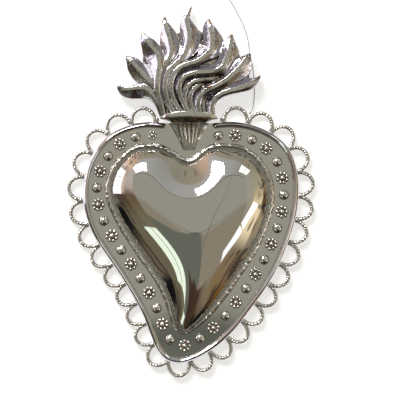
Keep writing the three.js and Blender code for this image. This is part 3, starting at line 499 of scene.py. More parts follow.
def tube(path, radii, around, flat=1.0):
    """A closed tube along a path, with its ends drawn in."""
    run = unit(np.gradient(path, axis=0))
    side = unit(np.column_stack([-run[:, 1], run[:, 0], np.zeros(len(run))]))
    rise = np.cross(run, side)
    rise = np.where(rise[:, 2:] < 0, -rise, rise)
    turns = np.linspace(0, 2 * np.pi, around, endpoint=False)
    rings = []
    for k, centre in enumerate(path):
        radius = radii[k]
        across = np.cos(turns)[:, None] * side[k] * np.reshape(radius, (-1, 1))
        up = np.sin(turns)[:, None] * rise[k] * np.reshape(radius, (-1, 1)) * flat
        rings.append(centre + across + up)
    return capped(rings)


# Meshes


def make_mesh(name, points, faces):
    """A mesh in metres from millimetres, with its faces pointing out."""
    mesh = bpy.data.meshes.new(name)
    mesh.from_pydata((np.asarray(points) * MM).tolist(), [], faces)
    mesh.update()
    mesh.validate()
    corners = np.array([[mesh.vertices[i].co[:] for i in p.vertices[:3]] for p in mesh.polygons])
    volume = np.einsum("ij,ij->i", corners[:, 0], np.cross(corners[:, 1], corners[:, 2])).sum()
    if volume < 0:
        mesh.flip_normals()
    return mesh


def settle(context, name, mesh, finish, nodes, crease=50.0):
    """Puts a mesh on the heart in the place of frame nodes."""
    mesh.polygons.foreach_set("use_smooth", [True] * len(mesh.polygons))
    mesh.set_sharp_from_angle(angle=math.radians(crease))
    mesh.materials.clear()
    mesh.materials.append(finish)
    body = bpy.data.objects.new(name, mesh)
    context.scene.collection.objects.link(body)
    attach(body, "root")
    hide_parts(*nodes)
    return body


def melted(context, name, points, faces, grain, passes, cutter=None):
    """Overlapping closed forms run together into one skin, as solder or casting does."""
    mesh = make_mesh(name + "_raw", points, faces)
    body = bpy.data.objects.new(name + "_raw", mesh)
    context.scene.collection.objects.link(body)
    remesh = body.modifiers.new("join", "REMESH")
    remesh.mode = "VOXEL"
    remesh.voxel_size = grain * MM
    if passes:
        soften = body.modifiers.new("soften", "SMOOTH")
        soften.factor = 0.5
        soften.iterations = passes
    if cutter is not None:
        cut = body.modifiers.new("cut", "BOOLEAN")
        cut.operation = "DIFFERENCE"
        cut.solver = "EXACT"
        cut.object = cutter
    context.view_layer.update()
    dressed = body.evaluated_get(context.evaluated_depsgraph_get())
    result = bpy.data.meshes.new_from_object(dressed)
    result.name = name
    bpy.data.objects.remove(body)
    bpy.data.meshes.remove(mesh)
    return result


def mesh_values(items, name, width):
    """A value of all vertices or edges of a mesh, one row each."""
    values = np.empty(len(items) * width, int if name == "vertices" else float)
    items.foreach_get(name, values)
    return values.reshape(-1, width)


def note(mesh, hollow):
    """Stores the darkening at each point, from 0 to 1: darkened old silver and painted shade."""
    layer = mesh.attributes.new("hollow", "FLOAT", "POINT")
    layer.data.foreach_set("value", np.asarray(hollow).astype(np.float32))


def note_hollow_shade(mesh, passes, depth, tips=()):
    """Stores darkening by how far each point lies below its surroundings, darkened old silver and painted
    shade, and full painted shade at the given tips.
    """
    points = mesh_values(mesh.vertices, "co", 3) / MM
    normals = mesh_values(mesh.vertices, "normal", 3)
    first, second = mesh_values(mesh.edges, "vertices", 2).T
    count = len(points)
    number = np.bincount(first, minlength=count) + np.bincount(second, minlength=count)
    mean = points.copy()
    for _ in range(passes):
        total = np.column_stack([
            np.bincount(first, mean[second, axis], count) + np.bincount(second, mean[first, axis], count)
            for axis in range(3)
        ])
        mean = total / np.maximum(number, 1)[:, None]
    hollow = np.clip(((mean - points) * normals).sum(1) / depth, 0, 1)
    for tip in tips:
        away = np.linalg.norm(points[:, :2] - tip, axis=1)
        hollow = np.maximum(hollow, 1 - ease(away, 0.3 * TIP_SHADE_REACH, TIP_SHADE_REACH))
    note(mesh, hollow)


def note_foot_shade(mesh, low, high):
    """Stores painted shade by how near to the plate each point lies, from 1 at low to 0 at high."""
    note(mesh, 1 - ease(mesh_values(mesh.vertices, "co", 3)[:, 2] / MM, low, high))


# Finishes


class Signal:
    """A value socket that takes part in Python arithmetic."""

    def __init__(self, board, socket):
        self.board = board
        self.socket = socket

    def math(self, operation, first, second):
        return self.board.add("ShaderNodeMath", {"operation": operation}, {0: first, 1: second})

    def __add__(self, other):
        return self.math("ADD", self, other)

    def __radd__(self, other):
        return self.math("ADD", other, self)

    def __sub__(self, other):
        return self.math("SUBTRACT", self, other)

    def __rsub__(self, other):
        return self.math("SUBTRACT", other, self)

    def __mul__(self, other):
        return self.math("MULTIPLY", self, other)

    def __rmul__(self, other):
        return self.math("MULTIPLY", other, self)

    def __truediv__(self, other):
        return self.math("DIVIDE", self, other)

    def __abs__(self):
        return self.math("ABSOLUTE", self, 0.0)


class Board:
    """The node tree of one finish, or of the room."""

    def __init__(self, tree):
        self.tree = tree
        tree.nodes.clear()

    def add(self, kind, settings=None, inputs=None, output=0):
        """Adds a node, sets it, feeds its sockets and returns one of its outputs."""
        node = self.tree.nodes.new(kind)
        for key, value in (settings or {}).items():
            if key == "stops":
                self.set_stops(node.color_ramp.elements, value)
            else:
                setattr(node, key, value)
        for key, value in (inputs or {}).items():
            if isinstance(value, Signal):
                self.tree.links.new(value.socket, node.inputs[key])
            else:
                node.inputs[key].default_value = value
        return Signal(self, node.outputs[output] if node.outputs else None)

    def set_stops(self, elements, stops):
        """Gives a ramp its places and colours."""
        while len(elements) < len(stops):
            elements.new(1.0)
        for element, (place, tone) in zip(elements, stops):
            element.position = place
            element.color = tone

    def step(self, value, low, high):
        """A smooth step from 0 at low to 1 at high."""
        return self.add(
            "ShaderNodeMapRange",
            {"interpolation_type": "SMOOTHSTEP"},
            {"Value": value, "From Min": low, "From Max": high},
        )

    def blend(self, factor, first, second):
        """A mix of two colours."""
        inputs = {0: factor, 6: first, 7: second}
        return self.add("ShaderNodeMix", {"data_type": "RGBA"}, inputs, output=2)

    def noise(self, place, size, detail=3.0):
        """Noise with features of a size in millimetres."""
        inputs = {"Vector": place, "Scale": 1 / (size * MM), "Detail": detail}
        return self.add("ShaderNodeTexNoise", None, inputs)


def new_finish(name):
    """An empty material and its board."""
    material = bpy.data.materials.new(name)
    material.use_nodes = True
    return material, Board(material.node_tree)


# Silver of each piece: haze and its spread, size and depth of dents, then how much darkened old silver
# and painted shade darken hollows, how much painted shade darkens steep sides, how much pits darken,
# and how much painted violet sheen, a painted reflection, the sides take
SILVER = {
    "plate": (0.03, 0.05, 30.0, 0.004, 0.0, 0.0, 0.0, 0.0),
    "rim": (0.05, 0.06, 2.5, 0.015, 0.9, 0.6, 0.0, 0.6),
    "moulding": (0.06, 0.08, 1.5, 0.2, 1.0, 0.7, 0.6, 0.2),
    "heart": (0.02, 0.03, 40.0, 0.02, 0.9, 0.0, 0.0, 0.0),
    "rosette": (0.06, 0.08, 0.8, 0.03, 0.6, 0.8, 0.1, 0.0),
    "boss": (0.05, 0.06, 1.2, 0.012, 0.9, 0.5, 0.0, 0.0),
    "fringe": (0.08, 0.1, 0.9, 0.35, 1.0, 1.5, 0.35, 0.3),
    "stem": (0.06, 0.08, 1.0, 0.02, 0.65, 0.2, 0.0, 0.0),
    "cup": (0.05, 0.06, 1.5, 0.012, 0.95, 0.3, 0.0, 0.0),
    "flame": (0.04, 0.06, 1.4, 0.1, 1.0, 0.6, 0.35, 0.75),
}

# Sizes of clouds, rubbed spots and stains, and where levels and noise turn into marks; STEEP sets where
# painted shade darkens steep sides and SIDE where the sides take a painted violet sheen
CLOUD_SIZE = 9.0
RUB_SIZE = 0.9
STAIN_SIZE = 2.2
STEEP = (0.5, 0.78)
SIDE = (0.74, 0.92)
PIT = (0.36, 0.46)
WORN = (0.42, 0.58)
STAINED = (0.48, 0.62)


def silver_finish(context, piece):
    """Polished silver: clean crests, a painted violet sheen on the sides, darkened old silver and painted
    shade in hollows, dark pits in dents and painted shade on steep sides.
    """
    haze, haze_spread, dent_size, dent_depth, patina_and_shade, edges, specks, sheen = SILVER[piece]
    colours = context.scene.votive_colours
    material, board = new_finish(piece + "_silver")
    place = board.add("ShaderNodeTexCoord", output=3)
    cloud = board.noise(place, CLOUD_SIZE)
    rub = board.noise(place, RUB_SIZE, 5.0)
    hollow = board.add("ShaderNodeAttribute", {"attribute_name": "hollow"}, output=2)
    normal = board.add("ShaderNodeNewGeometry", output=1)
    level = board.add("ShaderNodeSeparateXYZ", None, {0: normal}, output=2)
    # Painted shade: more steeply sloping sides darken, standing in for darker surroundings that they
    # would mirror
    steep = 1 - board.step(level, *STEEP)
    dents = board.noise(place, dent_size, 2.0)
    pits = 1 - board.step(dents, *PIT)
    worn = 1 - 1.5 * specks * (1 - board.step(rub, *WORN))
    # Darkening: darkened old silver and painted shade in hollows, painted shade on steep sides, less at
    # worn spots, dark pits in the dents
    tarnish_and_shade = (hollow * patina_and_shade + steep * edges) * (0.5 + rub) * worn + pits * specks
    # Painted reflection: the sides take a violet sheen by their slope
    sides = sheen * (1 - board.step(level, *SIDE))
    tone = board.blend(sides, paint(colours.silver), paint(colours.sheen))
    # At random, part of the darkening, painted shade included, turns golden brown
    stain = board.step(board.noise(place, STAIN_SIZE), *STAINED)
    stain = board.blend(stain, paint(colours.patina_and_shade), paint(colours.stain))
    tone = board.blend(tarnish_and_shade, tone, stain)
    roughness = haze + (cloud * 0.6 + rub * 0.4) * haze_spread + tarnish_and_shade * 0.25
    bump = board.add(
        "ShaderNodeBump", None, {"Strength": 1.0, "Distance": dent_depth * MM, "Height": dents}
    )
    shader = board.add(
        "ShaderNodeBsdfPrincipled",
        None,
        {"Base Color": tone, "Metallic": 1.0, "Roughness": roughness, "Normal": bump},
    )
    board.add("ShaderNodeOutputMaterial", None, {"Surface": shader})
    return material


def nylon_finish(context):
    """Clear nylon line with a faint cloudiness."""
    colours = context.scene.votive_colours
    material, board = new_finish("clear_nylon")
    place = board.add("ShaderNodeTexCoord", output=3)
    cloud = board.noise(place, 1.5)
    pale = [0.5 + 0.5 * channel for channel in colours.nylon]
    tone = board.blend(cloud, paint(colours.nylon), paint(pale))
    shader = board.add(
        "ShaderNodeBsdfPrincipled",
        None,
        {
            "Base Color": tone,
            "Roughness": 0.15 + cloud * 0.15,
            "IOR": 1.53,
            "Transmission Weight": 0.3,
        },
    )
    board.add("ShaderNodeOutputMaterial", None, {"Surface": shader})
    return material


def table_finish(context):
    """White table that keeps the shadows, and that the silver mirrors as white."""
    colours = context.scene.votive_colours
    material, board = new_finish("white_table")
    path = board.add("ShaderNodeLightPath").socket.node.outputs
    camera, glossy, through = (
        Signal(board, path[name]) for name in ("Is Camera Ray", "Is Glossy Ray", "Is Transmission Ray")
    )
    seen = 1 - (1 - camera) * (1 - glossy) * (1 - through)
    lit = board.add("ShaderNodeBsdfDiffuse", None, {"Color": paint(colours.table)})
    glow = board.add("ShaderNodeEmission", None, {"Color": (1.0, 1.0, 1.0, 1.0), "Strength": TABLE_GLOW})
    bright = board.add("ShaderNodeAddShader", None, {0: lit, 1: glow})
    shader = board.add("ShaderNodeMixShader", None, {0: seen, 1: lit, 2: bright})
    board.add("ShaderNodeOutputMaterial", None, {"Surface": shader})
    return material


def settle_silver(context, piece, points, faces, node, crease=50.0, hollow=None):
    """Builds a piece of silver and puts it in the place of a frame node."""
    finish = silver_finish(context, piece)
    mesh = make_mesh("silver_" + piece, points, faces)
    if hollow is not None:
        note(mesh, hollow)
    settle(context, "silver_" + piece, mesh, finish, [node], crease=crease)


# Outlines on the frame


def on_frame(points):
    """Drawn points moved onto the frame's plate."""
    drawn = smooth_path(PLATE_OUTLINE, FINE_STEPS, closed=True)
    low, high = drawn.min(0), drawn.max(0)
    return PLATE_LOW[:2] + (points - low) / (high - low) * (PLATE_HIGH - PLATE_LOW)[:2]


def fine_outline(points, count):
    """A drawn outline as evenly spaced points on the frame's plate."""
    return on_frame(smooth_path(points, count, closed=True))


def dome_centre():
    """Top of the heart, on the frame."""
    return on_frame(np.array(DOME_CENTRE))


def moulding_widths(ring, width):
    """The moulding narrows to half its width at the heart's tip."""
    tip = ring[np.argmin(ring[:, 1])]
    away = np.linalg.norm(ring - tip, axis=1)
    reach = MOULDING_TIP * (PLATE_HIGH[1] - PLATE_LOW[1])
    return width * (1 - 0.5 * np.exp(-((away / reach) ** 2)))


def edge_run(ring, left, right):
    """The part of the plate's edge between two distances from the stem's axis."""
    first = np.argmax(ring[:, 0] < STEM_AXIS - left)
    last = len(ring) - 1 - np.argmax(ring[::-1, 0] > STEM_AXIS + right)
    return ring[first:last + 1]


def heart_edge():
    """Outer edge of the moulding."""
    return fine_outline(HEART_OUTLINE, EDGE_STEPS)


def dome_edge(s):
    """Foot of the heart, inside the moulding."""
    edge = heart_edge()
    return inset(edge, moulding_widths(edge, s.moulding_width) + FIT_GAP)


def edge_distance(points, ring, hold):
    """Smooth distance of points from the closed outline round them, less where it holds them down."""
    span = np.roll(ring, -1, 0) - ring
    far = np.linalg.norm(span, axis=1)
    run = span / far[:, None]
    found = []
    for some in np.array_split(points, 1 + len(points) // POINTS_AT_ONCE):
        to = some[:, None] - ring[None]
        along = (to * run).sum(2)
        off = np.maximum((to ** 2).sum(2) - along ** 2, 1e-6)
        first = -along / np.sqrt(off + along ** 2)
        last = (far - along) / np.sqrt(off + (far - along) ** 2)
        found.append((((last - first) / off * hold).sum(1) / 2) ** -0.5)
    return np.concatenate(found)


def puffed_rings(edge, rise, steps):
    """Rings of a puffed heart from its foot to its top, rising from the edge at one slope all round."""
    centre = dome_centre()
    flats = [centre + (edge - centre) * spread for spread in np.linspace(1, 0, steps + 1)]
    by_cleft = np.exp(-(((edge[:, 0] - STEM_AXIS) / CLEFT_WIDTH) ** 2)) * (edge[:, 1] > centre[1])
    away = edge_distance(np.vstack(flats), edge, 1 + CLEFT_HOLD * by_cleft)
    top = away.max()
    high = rise * (1 - (1 - away / top) ** (FOOT_SLOPE * top / rise))
    rings = [
        np.column_stack([flat, PLATE_TOP + level])
        for flat, level in zip(flats, high.reshape(steps + 1, -1))
    ]
    rings[-1] = rings[-1][:1]
    return rings


# Pieces


class VOTIVE_OT_stage(bpy.types.Operator):
    """Camera, white table and the room that the silver mirrors"""

    bl_idname = "votive.stage"
    bl_label = "Stage"

    def execute(self, context):
        s = sizes_of(context)
        context.scene.view_settings.view_transform = "Standard"
        self.camera(context, s)
        self.table(context)
        self.room(context)
        self.windows(context)
        return {"FINISHED"}

    def camera(self, context, s):
        """Camera straight above, framed as the photograph is."""
        data = bpy.data.cameras.new("camera")
        data.sensor_width = 36.0
        data.lens = data.sensor_width * (s.camera_height - PLATE_TOP) / (PHOTO_PIXELS * PIXEL_SIZE)
        data.clip_end = 20.0
        eye = bpy.data.objects.new("camera", data)
        eye.location = (PHOTO_CENTRE[0] * MM, PHOTO_CENTRE[1] * MM, s.camera_height * MM)
        context.scene.collection.objects.link(eye)
        context.scene.camera = eye

    def table(self, context):
        """White table that the heart lies on."""
        reach = TABLE_REACH
        mesh = bpy.data.meshes.new("table")
        corners = [(-reach, -reach, 0), (reach, -reach, 0), (reach, reach, 0), (-reach, reach, 0)]
        mesh.from_pydata(corners, [], [(0, 1, 2, 3)])
        mesh.materials.append(table_finish(context))
        table = bpy.data.objects.new("table", mesh)
        context.scene.collection.objects.link(table)

    def room(self, context):
        """Pale ceiling over coloured walls, as a polished surface shows them."""
        colours = context.scene.votive_colours
        world = bpy.data.worlds.new("room")
        world.use_nodes = True
        context.scene.world = world
        board = Board(world.node_tree)
        view = board.add("ShaderNodeTexCoord", output=0)
        parts = board.add("ShaderNodeSeparateXYZ", None, {0: view}).socket.node.outputs
        x, y, z = (Signal(board, part) for part in parts)
        height = board.add("ShaderNodeMath", {"operation": "MAXIMUM"}, {0: z, 1: LOWEST_VIEW})
        look = self.walls(board, x, y, z, paint(colours.shade))
        cover, tone = self.ceiling(board, x / height, y / height, colours)
        look = board.blend(cover, look, tone)
        sky = board.add("ShaderNodeBackground", None, {"Color": look, "Strength": 1.0})
        board.add("ShaderNodeOutputWorld", None, {"Surface": sky})

    def walls(self, board, x, y, z, shade):
        """Three bands of wall with dark clutter low down."""
        turn = board.add("ShaderNodeMath", {"operation": "ARCTAN2"}, {0: y, 1: x}) / (2 * math.pi)
        turn = board.add("ShaderNodeMath", {"operation": "FRACT"}, {0: turn + 1})
        high_wall, low_wall, base_wall = (
            board.add("ShaderNodeValToRGB", {"stops": turn_stops(wall)}, {0: turn})
            for wall in (HIGH_WALL, LOW_WALL, BASE_WALL)
        )
        look = board.blend(board.step(z, *BASE_TOP), base_wall, low_wall)
        spots = {k: part * scale for k, (part, scale) in enumerate(zip((x, y, z), CLUTTER_SCALE))}
        clutter = board.add("ShaderNodeCombineXYZ", None, spots)
        clutter = board.add("ShaderNodeTexNoise", None, {"Vector": clutter, "Scale": 1.0, "Detail": 1.0})
        dark = (1 - board.step(clutter, *CLUTTER_EDGE)) * (1 - board.step(z, *CLUTTER_TOP))
        look = board.blend(dark * CLUTTER_DARK, look, shade)
        return board.blend(board.step(z, *LOW_TOP), look, high_wall)

    def ceiling(self, board, across, along, colours):
        """Where the ceiling is seen, and its colour: warm, then dim, towards a dark end of the room."""
        cover = board.step(across, *CEILING_WEST)
        cover = cover * board.step(0 - across - CEILING_SLANT * along, *CEILING_EAST)
        cover = cover * board.step(0 - along, *CEILING_NORTH)
        east = board.add("ShaderNodeMath", {"operation": "MAXIMUM"}, {0: across, 1: 0.0})
        end = board.step(0 - along - CEILING_SLANT * east, *DARK_END) * board.step(across, *DARK_END_WEST)
        cover = cover * (1 - end)
        warm = board.step(0 - along, *WARM_END)
        tone = board.blend(warm, paint(colours.ceiling), paint(colours.ceiling_warm))
        dim = board.step(0 - along - DIM_SLANT * abs(across), *DIM_END)
        dim = dim * board.step(DIM_EAST - CEILING_SLANT * along - across, 0.0, DIM_FADE)
        tone = board.blend(dim, tone, paint(colours.ceiling_dim))
        ways = {"across": across, "along": along}
        seams = sum(
            dark * (1 - board.step(abs(ways[way] - place), half_width * 0.4, half_width))
            for way, place, half_width, dark in SEAMS
        )
        return cover, board.blend(seams, tone, paint(colours.shade))

    def windows(self, context):
        """Windows on the walls of the room, pane by pane."""
        for name, side, along, level, width, tall, slant, columns, rows, tone, brightness in WINDOWS:
            turn = math.radians(side)
            out = Vector((math.cos(turn), math.sin(turn), 0))
            facing = (-out).to_track_quat("-Z", "Y") @ Quaternion((0, 0, 1), math.radians(-slant))
            middle = out * WALL_REACH[side] + Vector((-out.y, out.x, 0)) * along + Vector((0, 0, level))
            pane_width, pane_tall = width / columns, tall / rows
            for column in range(columns):
                for row in range(rows):
                    right = (column + 0.5) * pane_width - width / 2
                    up = (row + 0.5) * pane_tall - tall / 2
                    data = bpy.data.lights.new(f"{name}_{column}{row}", "AREA")
                    data.shape = "RECTANGLE"
                    data.size = (pane_width - PANE_BAR) * ROOM_HEIGHT
                    data.size_y = (pane_tall - PANE_BAR) * ROOM_HEIGHT
                    data.color = tone
                    data.energy = brightness * math.pi * data.size * data.size_y
                    pane = bpy.data.objects.new(data.name, data)
                    pane.location = (middle + facing @ Vector((right, up, 0))) * ROOM_HEIGHT
                    pane.rotation_euler = facing.to_euler()
                    context.scene.collection.objects.link(pane)


class VOTIVE_OT_thread(bpy.types.Operator):
    """Clear hanging thread with a knot at each end"""

    bl_idname = "votive.thread"
    bl_label = "Hanging thread"

    def execute(self, context):
        s = sizes_of(context)
        nylon = nylon_finish(context)
        tied = node_middle("thread_knot")
        end = node_middle("end_knot")
        on_table = s.thread_diameter / 2 + THREAD_LIFT
        route = [
            (tied[0] + x, tied[1] + y, (tied[2] + on_table) / 2 if k == 0 else on_table)
            for k, (x, y) in enumerate(THREAD_ROUTE)
        ]
        leave = unit(np.array(route[0]) - tied)
        start = tied + leave * s.knot_diameter / 2
        line = smooth_path([start, *route], count=39)
        curve = bpy.data.curves.new("nylon_thread", "CURVE")
        curve.dimensions = "3D"
        curve.bevel_depth = s.thread_diameter / 2 * MM
        curve.bevel_resolution = 3
        curve.use_fill_caps = True
        spline = curve.splines.new("POLY")
        spline.points.add(len(line) - 1)
        for point, place in zip(spline.points, line):
            point.co = (*(place * MM), 1.0)
        curve.materials.append(nylon)
        thread = bpy.data.objects.new("nylon_thread", curve)
        context.scene.collection.objects.link(thread)
        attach(thread, "root")
        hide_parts("hanging_thread")
        knots = [
            self.knot(context, s, "nylon_knot", tied, nylon, "thread_knot"),
            self.knot(context, s, "nylon_end_knot", end, nylon, "end_knot"),
        ]
        tuple(start * MM)
        return {"FINISHED"}

    def knot(self, context, s, name, place, nylon, node):
        """An overhand knot pulled tight."""
        turns = np.linspace(0, 2 * np.pi, 120)
        loop = np.column_stack([
            np.sin(turns) + 2 * np.sin(2 * turns),
            np.cos(turns) - 2 * np.cos(2 * turns),
            -np.sin(3 * turns),
        ])
        strand = 0.2 * s.knot_diameter
        path = loop / 3.0 * (s.knot_diameter / 2 - strand) + place
        points, faces = tube(path, np.full(len(path), strand), 10)
        mesh = melted(context, name, points, faces, KNOT_GRAIN, 2)
        return settle(context, name, mesh, nylon, [node])


class VOTIVE_OT_plate(bpy.types.Operator):
    """Flat border plate with its turned-down edge"""

    bl_idname = "votive.plate"
    bl_label = "Border plate"

    def execute(self, context):
        s = sizes_of(context)
        edge = fine_outline(PLATE_OUTLINE, EDGE_STEPS)
        hole = inset(dome_edge(s), s.dome_wall + s.dome_ledge)
        inner = inset(edge, s.skirt)
        under = PLATE_TOP - s.sheet
        points, faces = skin([
            at_height(edge, 0),
            at_height(edge, PLATE_TOP),
            at_height(hole, PLATE_TOP),
            at_height(hole, under),
            at_height(inner, under),
            at_height(inner, 0),
        ], loop=True)
        settle_silver(context, "plate", points, faces, "border_plate", crease=30)
        return {"FINISHED"}


class VOTIVE_OT_rim(bpy.types.Operator):
    """Low rounded rim wire along the plate's edge, open at the stem"""

    bl_idname = "votive.rim"
    bl_label = "Rim wire"

    def execute(self, context):
        s = sizes_of(context)
        gap = (STEM_HIGH[0] - STEM_LOW[0]) / 2 + s.rim_stop
        path = smooth_path(edge_run(fine_outline(PLATE_OUTLINE, FINE_STEPS), gap, gap), count=640)
        into = left_of(unit(np.gradient(path, axis=0)))
        far = np.linspace(0, 1, len(path))
        nearest_end = np.minimum(far, 1 - far) * RIM_RUN
        swell = np.sqrt(1 - (1 - np.clip(nearest_end / RIM_END, 0.02, 1)) ** 2)
        turns = np.linspace(0, np.pi, RIDGE_STEPS)
        rings = []
        for p, side, full in zip(path, into, swell):
            across = s.rim_width * (0.5 - 0.5 * full * np.cos(turns))
            high = PLATE_TOP + s.rim_height * full * (1 - np.abs(np.cos(turns)) ** RIDGE_ROUND)
            rings.append(np.column_stack([p + side * across[:, None], high]))
        points, faces = capped(rings)
        # Painted shade along the rim's inner foot, in the crease by the plate
        foot = ease(turns, RIM_SHADE * np.pi, np.pi)
        hollow = np.concatenate([[1], *[foot] * len(rings), [1]])
        settle_silver(context, "rim", points, faces, "rim_wire", hollow=hollow)
        return {"FINISHED"}


class VOTIVE_OT_moulding(bpy.types.Operator):
    """Low rounded moulding round the foot of the heart"""

    bl_idname = "votive.moulding"
    bl_label = "Heart moulding"

    def execute(self, context):
        s = sizes_of(context)
        edge = heart_edge()
        widths = moulding_widths(edge, s.moulding_width)
        step = np.linalg.norm(np.roll(edge, -1, 0) - edge, axis=1)
        along = 2 * np.pi * (np.cumsum(step) - step) / step.sum()
        marks = sum(np.cos(round(step.sum() / pitch) * along + pitch) for pitch in MARK_PITCHES)
        crest = s.moulding_height * (1 - MARK_DEPTH * ease(marks, 0.2, 1.2))
        rings = []
        turns = np.linspace(0, np.pi, RIDGE_STEPS)
        for turn in turns:
            flat = inset(edge, widths * (1 - math.cos(turn)) / 2)
            level = PLATE_TOP + crest * (1 - abs(math.cos(turn)) ** RIDGE_ROUND)
            rings.append(np.column_stack([flat, level]))
        points, faces = skin(rings, loop=True)
        # Painted shade along the moulding's inner foot, in the groove by the heart
        hollow = np.repeat(ease(turns, MOULDING_SHADE * np.pi, np.pi), len(edge))
        settle_silver(context, "moulding", points, faces, "dome_moulding", hollow=hollow)
        return {"FINISHED"}


class VOTIVE_OT_heart(bpy.types.Operator):
    """Hollow puffed heart with its cleft"""

    bl_idname = "votive.heart"
    bl_label = "Puffed heart"

    def execute(self, context):
        s = sizes_of(context)
        edge = dome_edge(s)
        outside = puffed_rings(edge, s.dome_rise, steps=80)
        inside = puffed_rings(inset(edge, s.dome_wall), s.dome_rise - s.dome_wall, steps=30)
        points, faces = skin([*outside[::-1], *inside])
        # Painted shade along the heart's foot, in the crease by the moulding
        hollow = ease(-points[:, 2], -PLATE_TOP - HEART_SHADE[1], -PLATE_TOP - HEART_SHADE[0])
        settle_silver(context, "heart", points, faces, "heart_dome", hollow=hollow)
        return {"FINISHED"}


def stud_places(kind):
    """Names, places, outward turns and heights of the studs of a kind."""
    centre = dome_centre()
    for k in range(1, STUD_COUNT + 1):
        node = f"{kind}_{k:02d}"
        low, high = node_box(node)
        place = (low + high) / 2
        place[2] = PLATE_TOP
        yield node, place, math.atan2(place[1] - centre[1], place[0] - centre[0]), high[2] - PLATE_TOP


def turned(points, angle, place):
    """Points turned about Z and moved to a place."""
    c, t = math.cos(angle), math.sin(angle)
    return points @ np.array([[c, t, 0], [-t, c, 0], [0, 0, 1]]) + place


class VOTIVE_OT_rosettes(bpy.types.Operator):
    """Rosette studs: eight beads round a centre bead"""

    bl_idname = "votive.rosettes"
    bl_label = "Rosette studs"

    def execute(self, context):
        s = sizes_of(context)
        finish = silver_finish(context, "rosette")
        for node, place, turn, high in stud_places("rosette"):
            scale = high / s.rosette_height
            points, faces = self.rosette(s.rosette_diameter / 2 * scale, high)
            mesh = make_mesh("silver_" + node, turned(points, turn, place), faces)
            # Painted shade low down, round the foot and between the beads
            note_foot_shade(mesh, PLATE_TOP + 0.15 * high, PLATE_TOP + 0.4 * high)
            settle(context, "silver_" + node, mesh, finish, [node], crease=75)
        return {"FINISHED"}

    def rosette(self, radius, high):
        """Closed form of one rosette on its back."""
        beads, around, rounds = 8, 96, 28
        bead_ring, bead, core, body = 0.74 * radius, 0.29 * radius, 0.5 * radius, 0.84 * radius
        bead_high, ground = 0.55 * high, 0.16 * high
        turns = np.linspace(0, 2 * np.pi, around, endpoint=False)
        off = (turns + np.pi / beads) % (2 * np.pi / beads) - np.pi / beads
        chord = np.clip(bead ** 2 - (bead_ring * np.sin(off)) ** 2, 0, None)
        reach = np.maximum(bead_ring * np.cos(off) + np.sqrt(chord), body)
        rings = [np.zeros((1, 3)), circle(reach, turns, 0)]
        for share in np.linspace(1, 0, rounds, endpoint=False):
            r = reach * share
            gap = np.hypot(r * np.cos(off) - bead_ring, r * np.sin(off))
            bump = bead_high * np.clip(1 - (gap / bead) ** 2, 0, 1) ** 0.8
            dome = high * np.clip(1 - (r / core) ** 2, 0, 1) ** 0.9
            rings.append(circle(r, turns, np.maximum(np.maximum(bump, dome), ground)))
        rings.append(np.array([[0, 0, high]]))
        return skin(rings)


class VOTIVE_OT_bosses(bpy.types.Operator):
    """Plain domed studs"""

    bl_idname = "votive.bosses"
    bl_label = "Plain studs"

    def execute(self, context):
        s = sizes_of(context)
        finish = silver_finish(context, "boss")
        for node, place, turn, high in stud_places("boss"):
            points, faces = self.boss(s.boss_diameter / 2, high)
            mesh = make_mesh("silver_" + node, turned(points, turn, place), faces)
            # Painted shade round the stud's foot
            note_foot_shade(mesh, PLATE_TOP, PLATE_TOP + 0.38 * high)
            settle(context, "silver_" + node, mesh, finish, [node], crease=75)
        return {"FINISHED"}

    def boss(self, radius, high):
        """Closed form of one plain stud on its back."""
        flange = 0.12 * high
        climb = np.linspace(0, np.pi / 2, 20, endpoint=False)
        rise = high - flange
        profile = [(radius, 0), (radius, 0.6 * flange), (0.97 * radius, flange), (0.92 * radius, flange)]
        profile += [(0.9 * radius * math.cos(a), flange + rise * math.sin(a) ** 2) for a in climb]
        turns = np.linspace(0, 2 * np.pi, 48, endpoint=False)
        rings = [circle(r, turns, z) for r, z in profile]
        return skin([np.zeros((1, 3)), *rings, np.array([[0, 0, high]])])


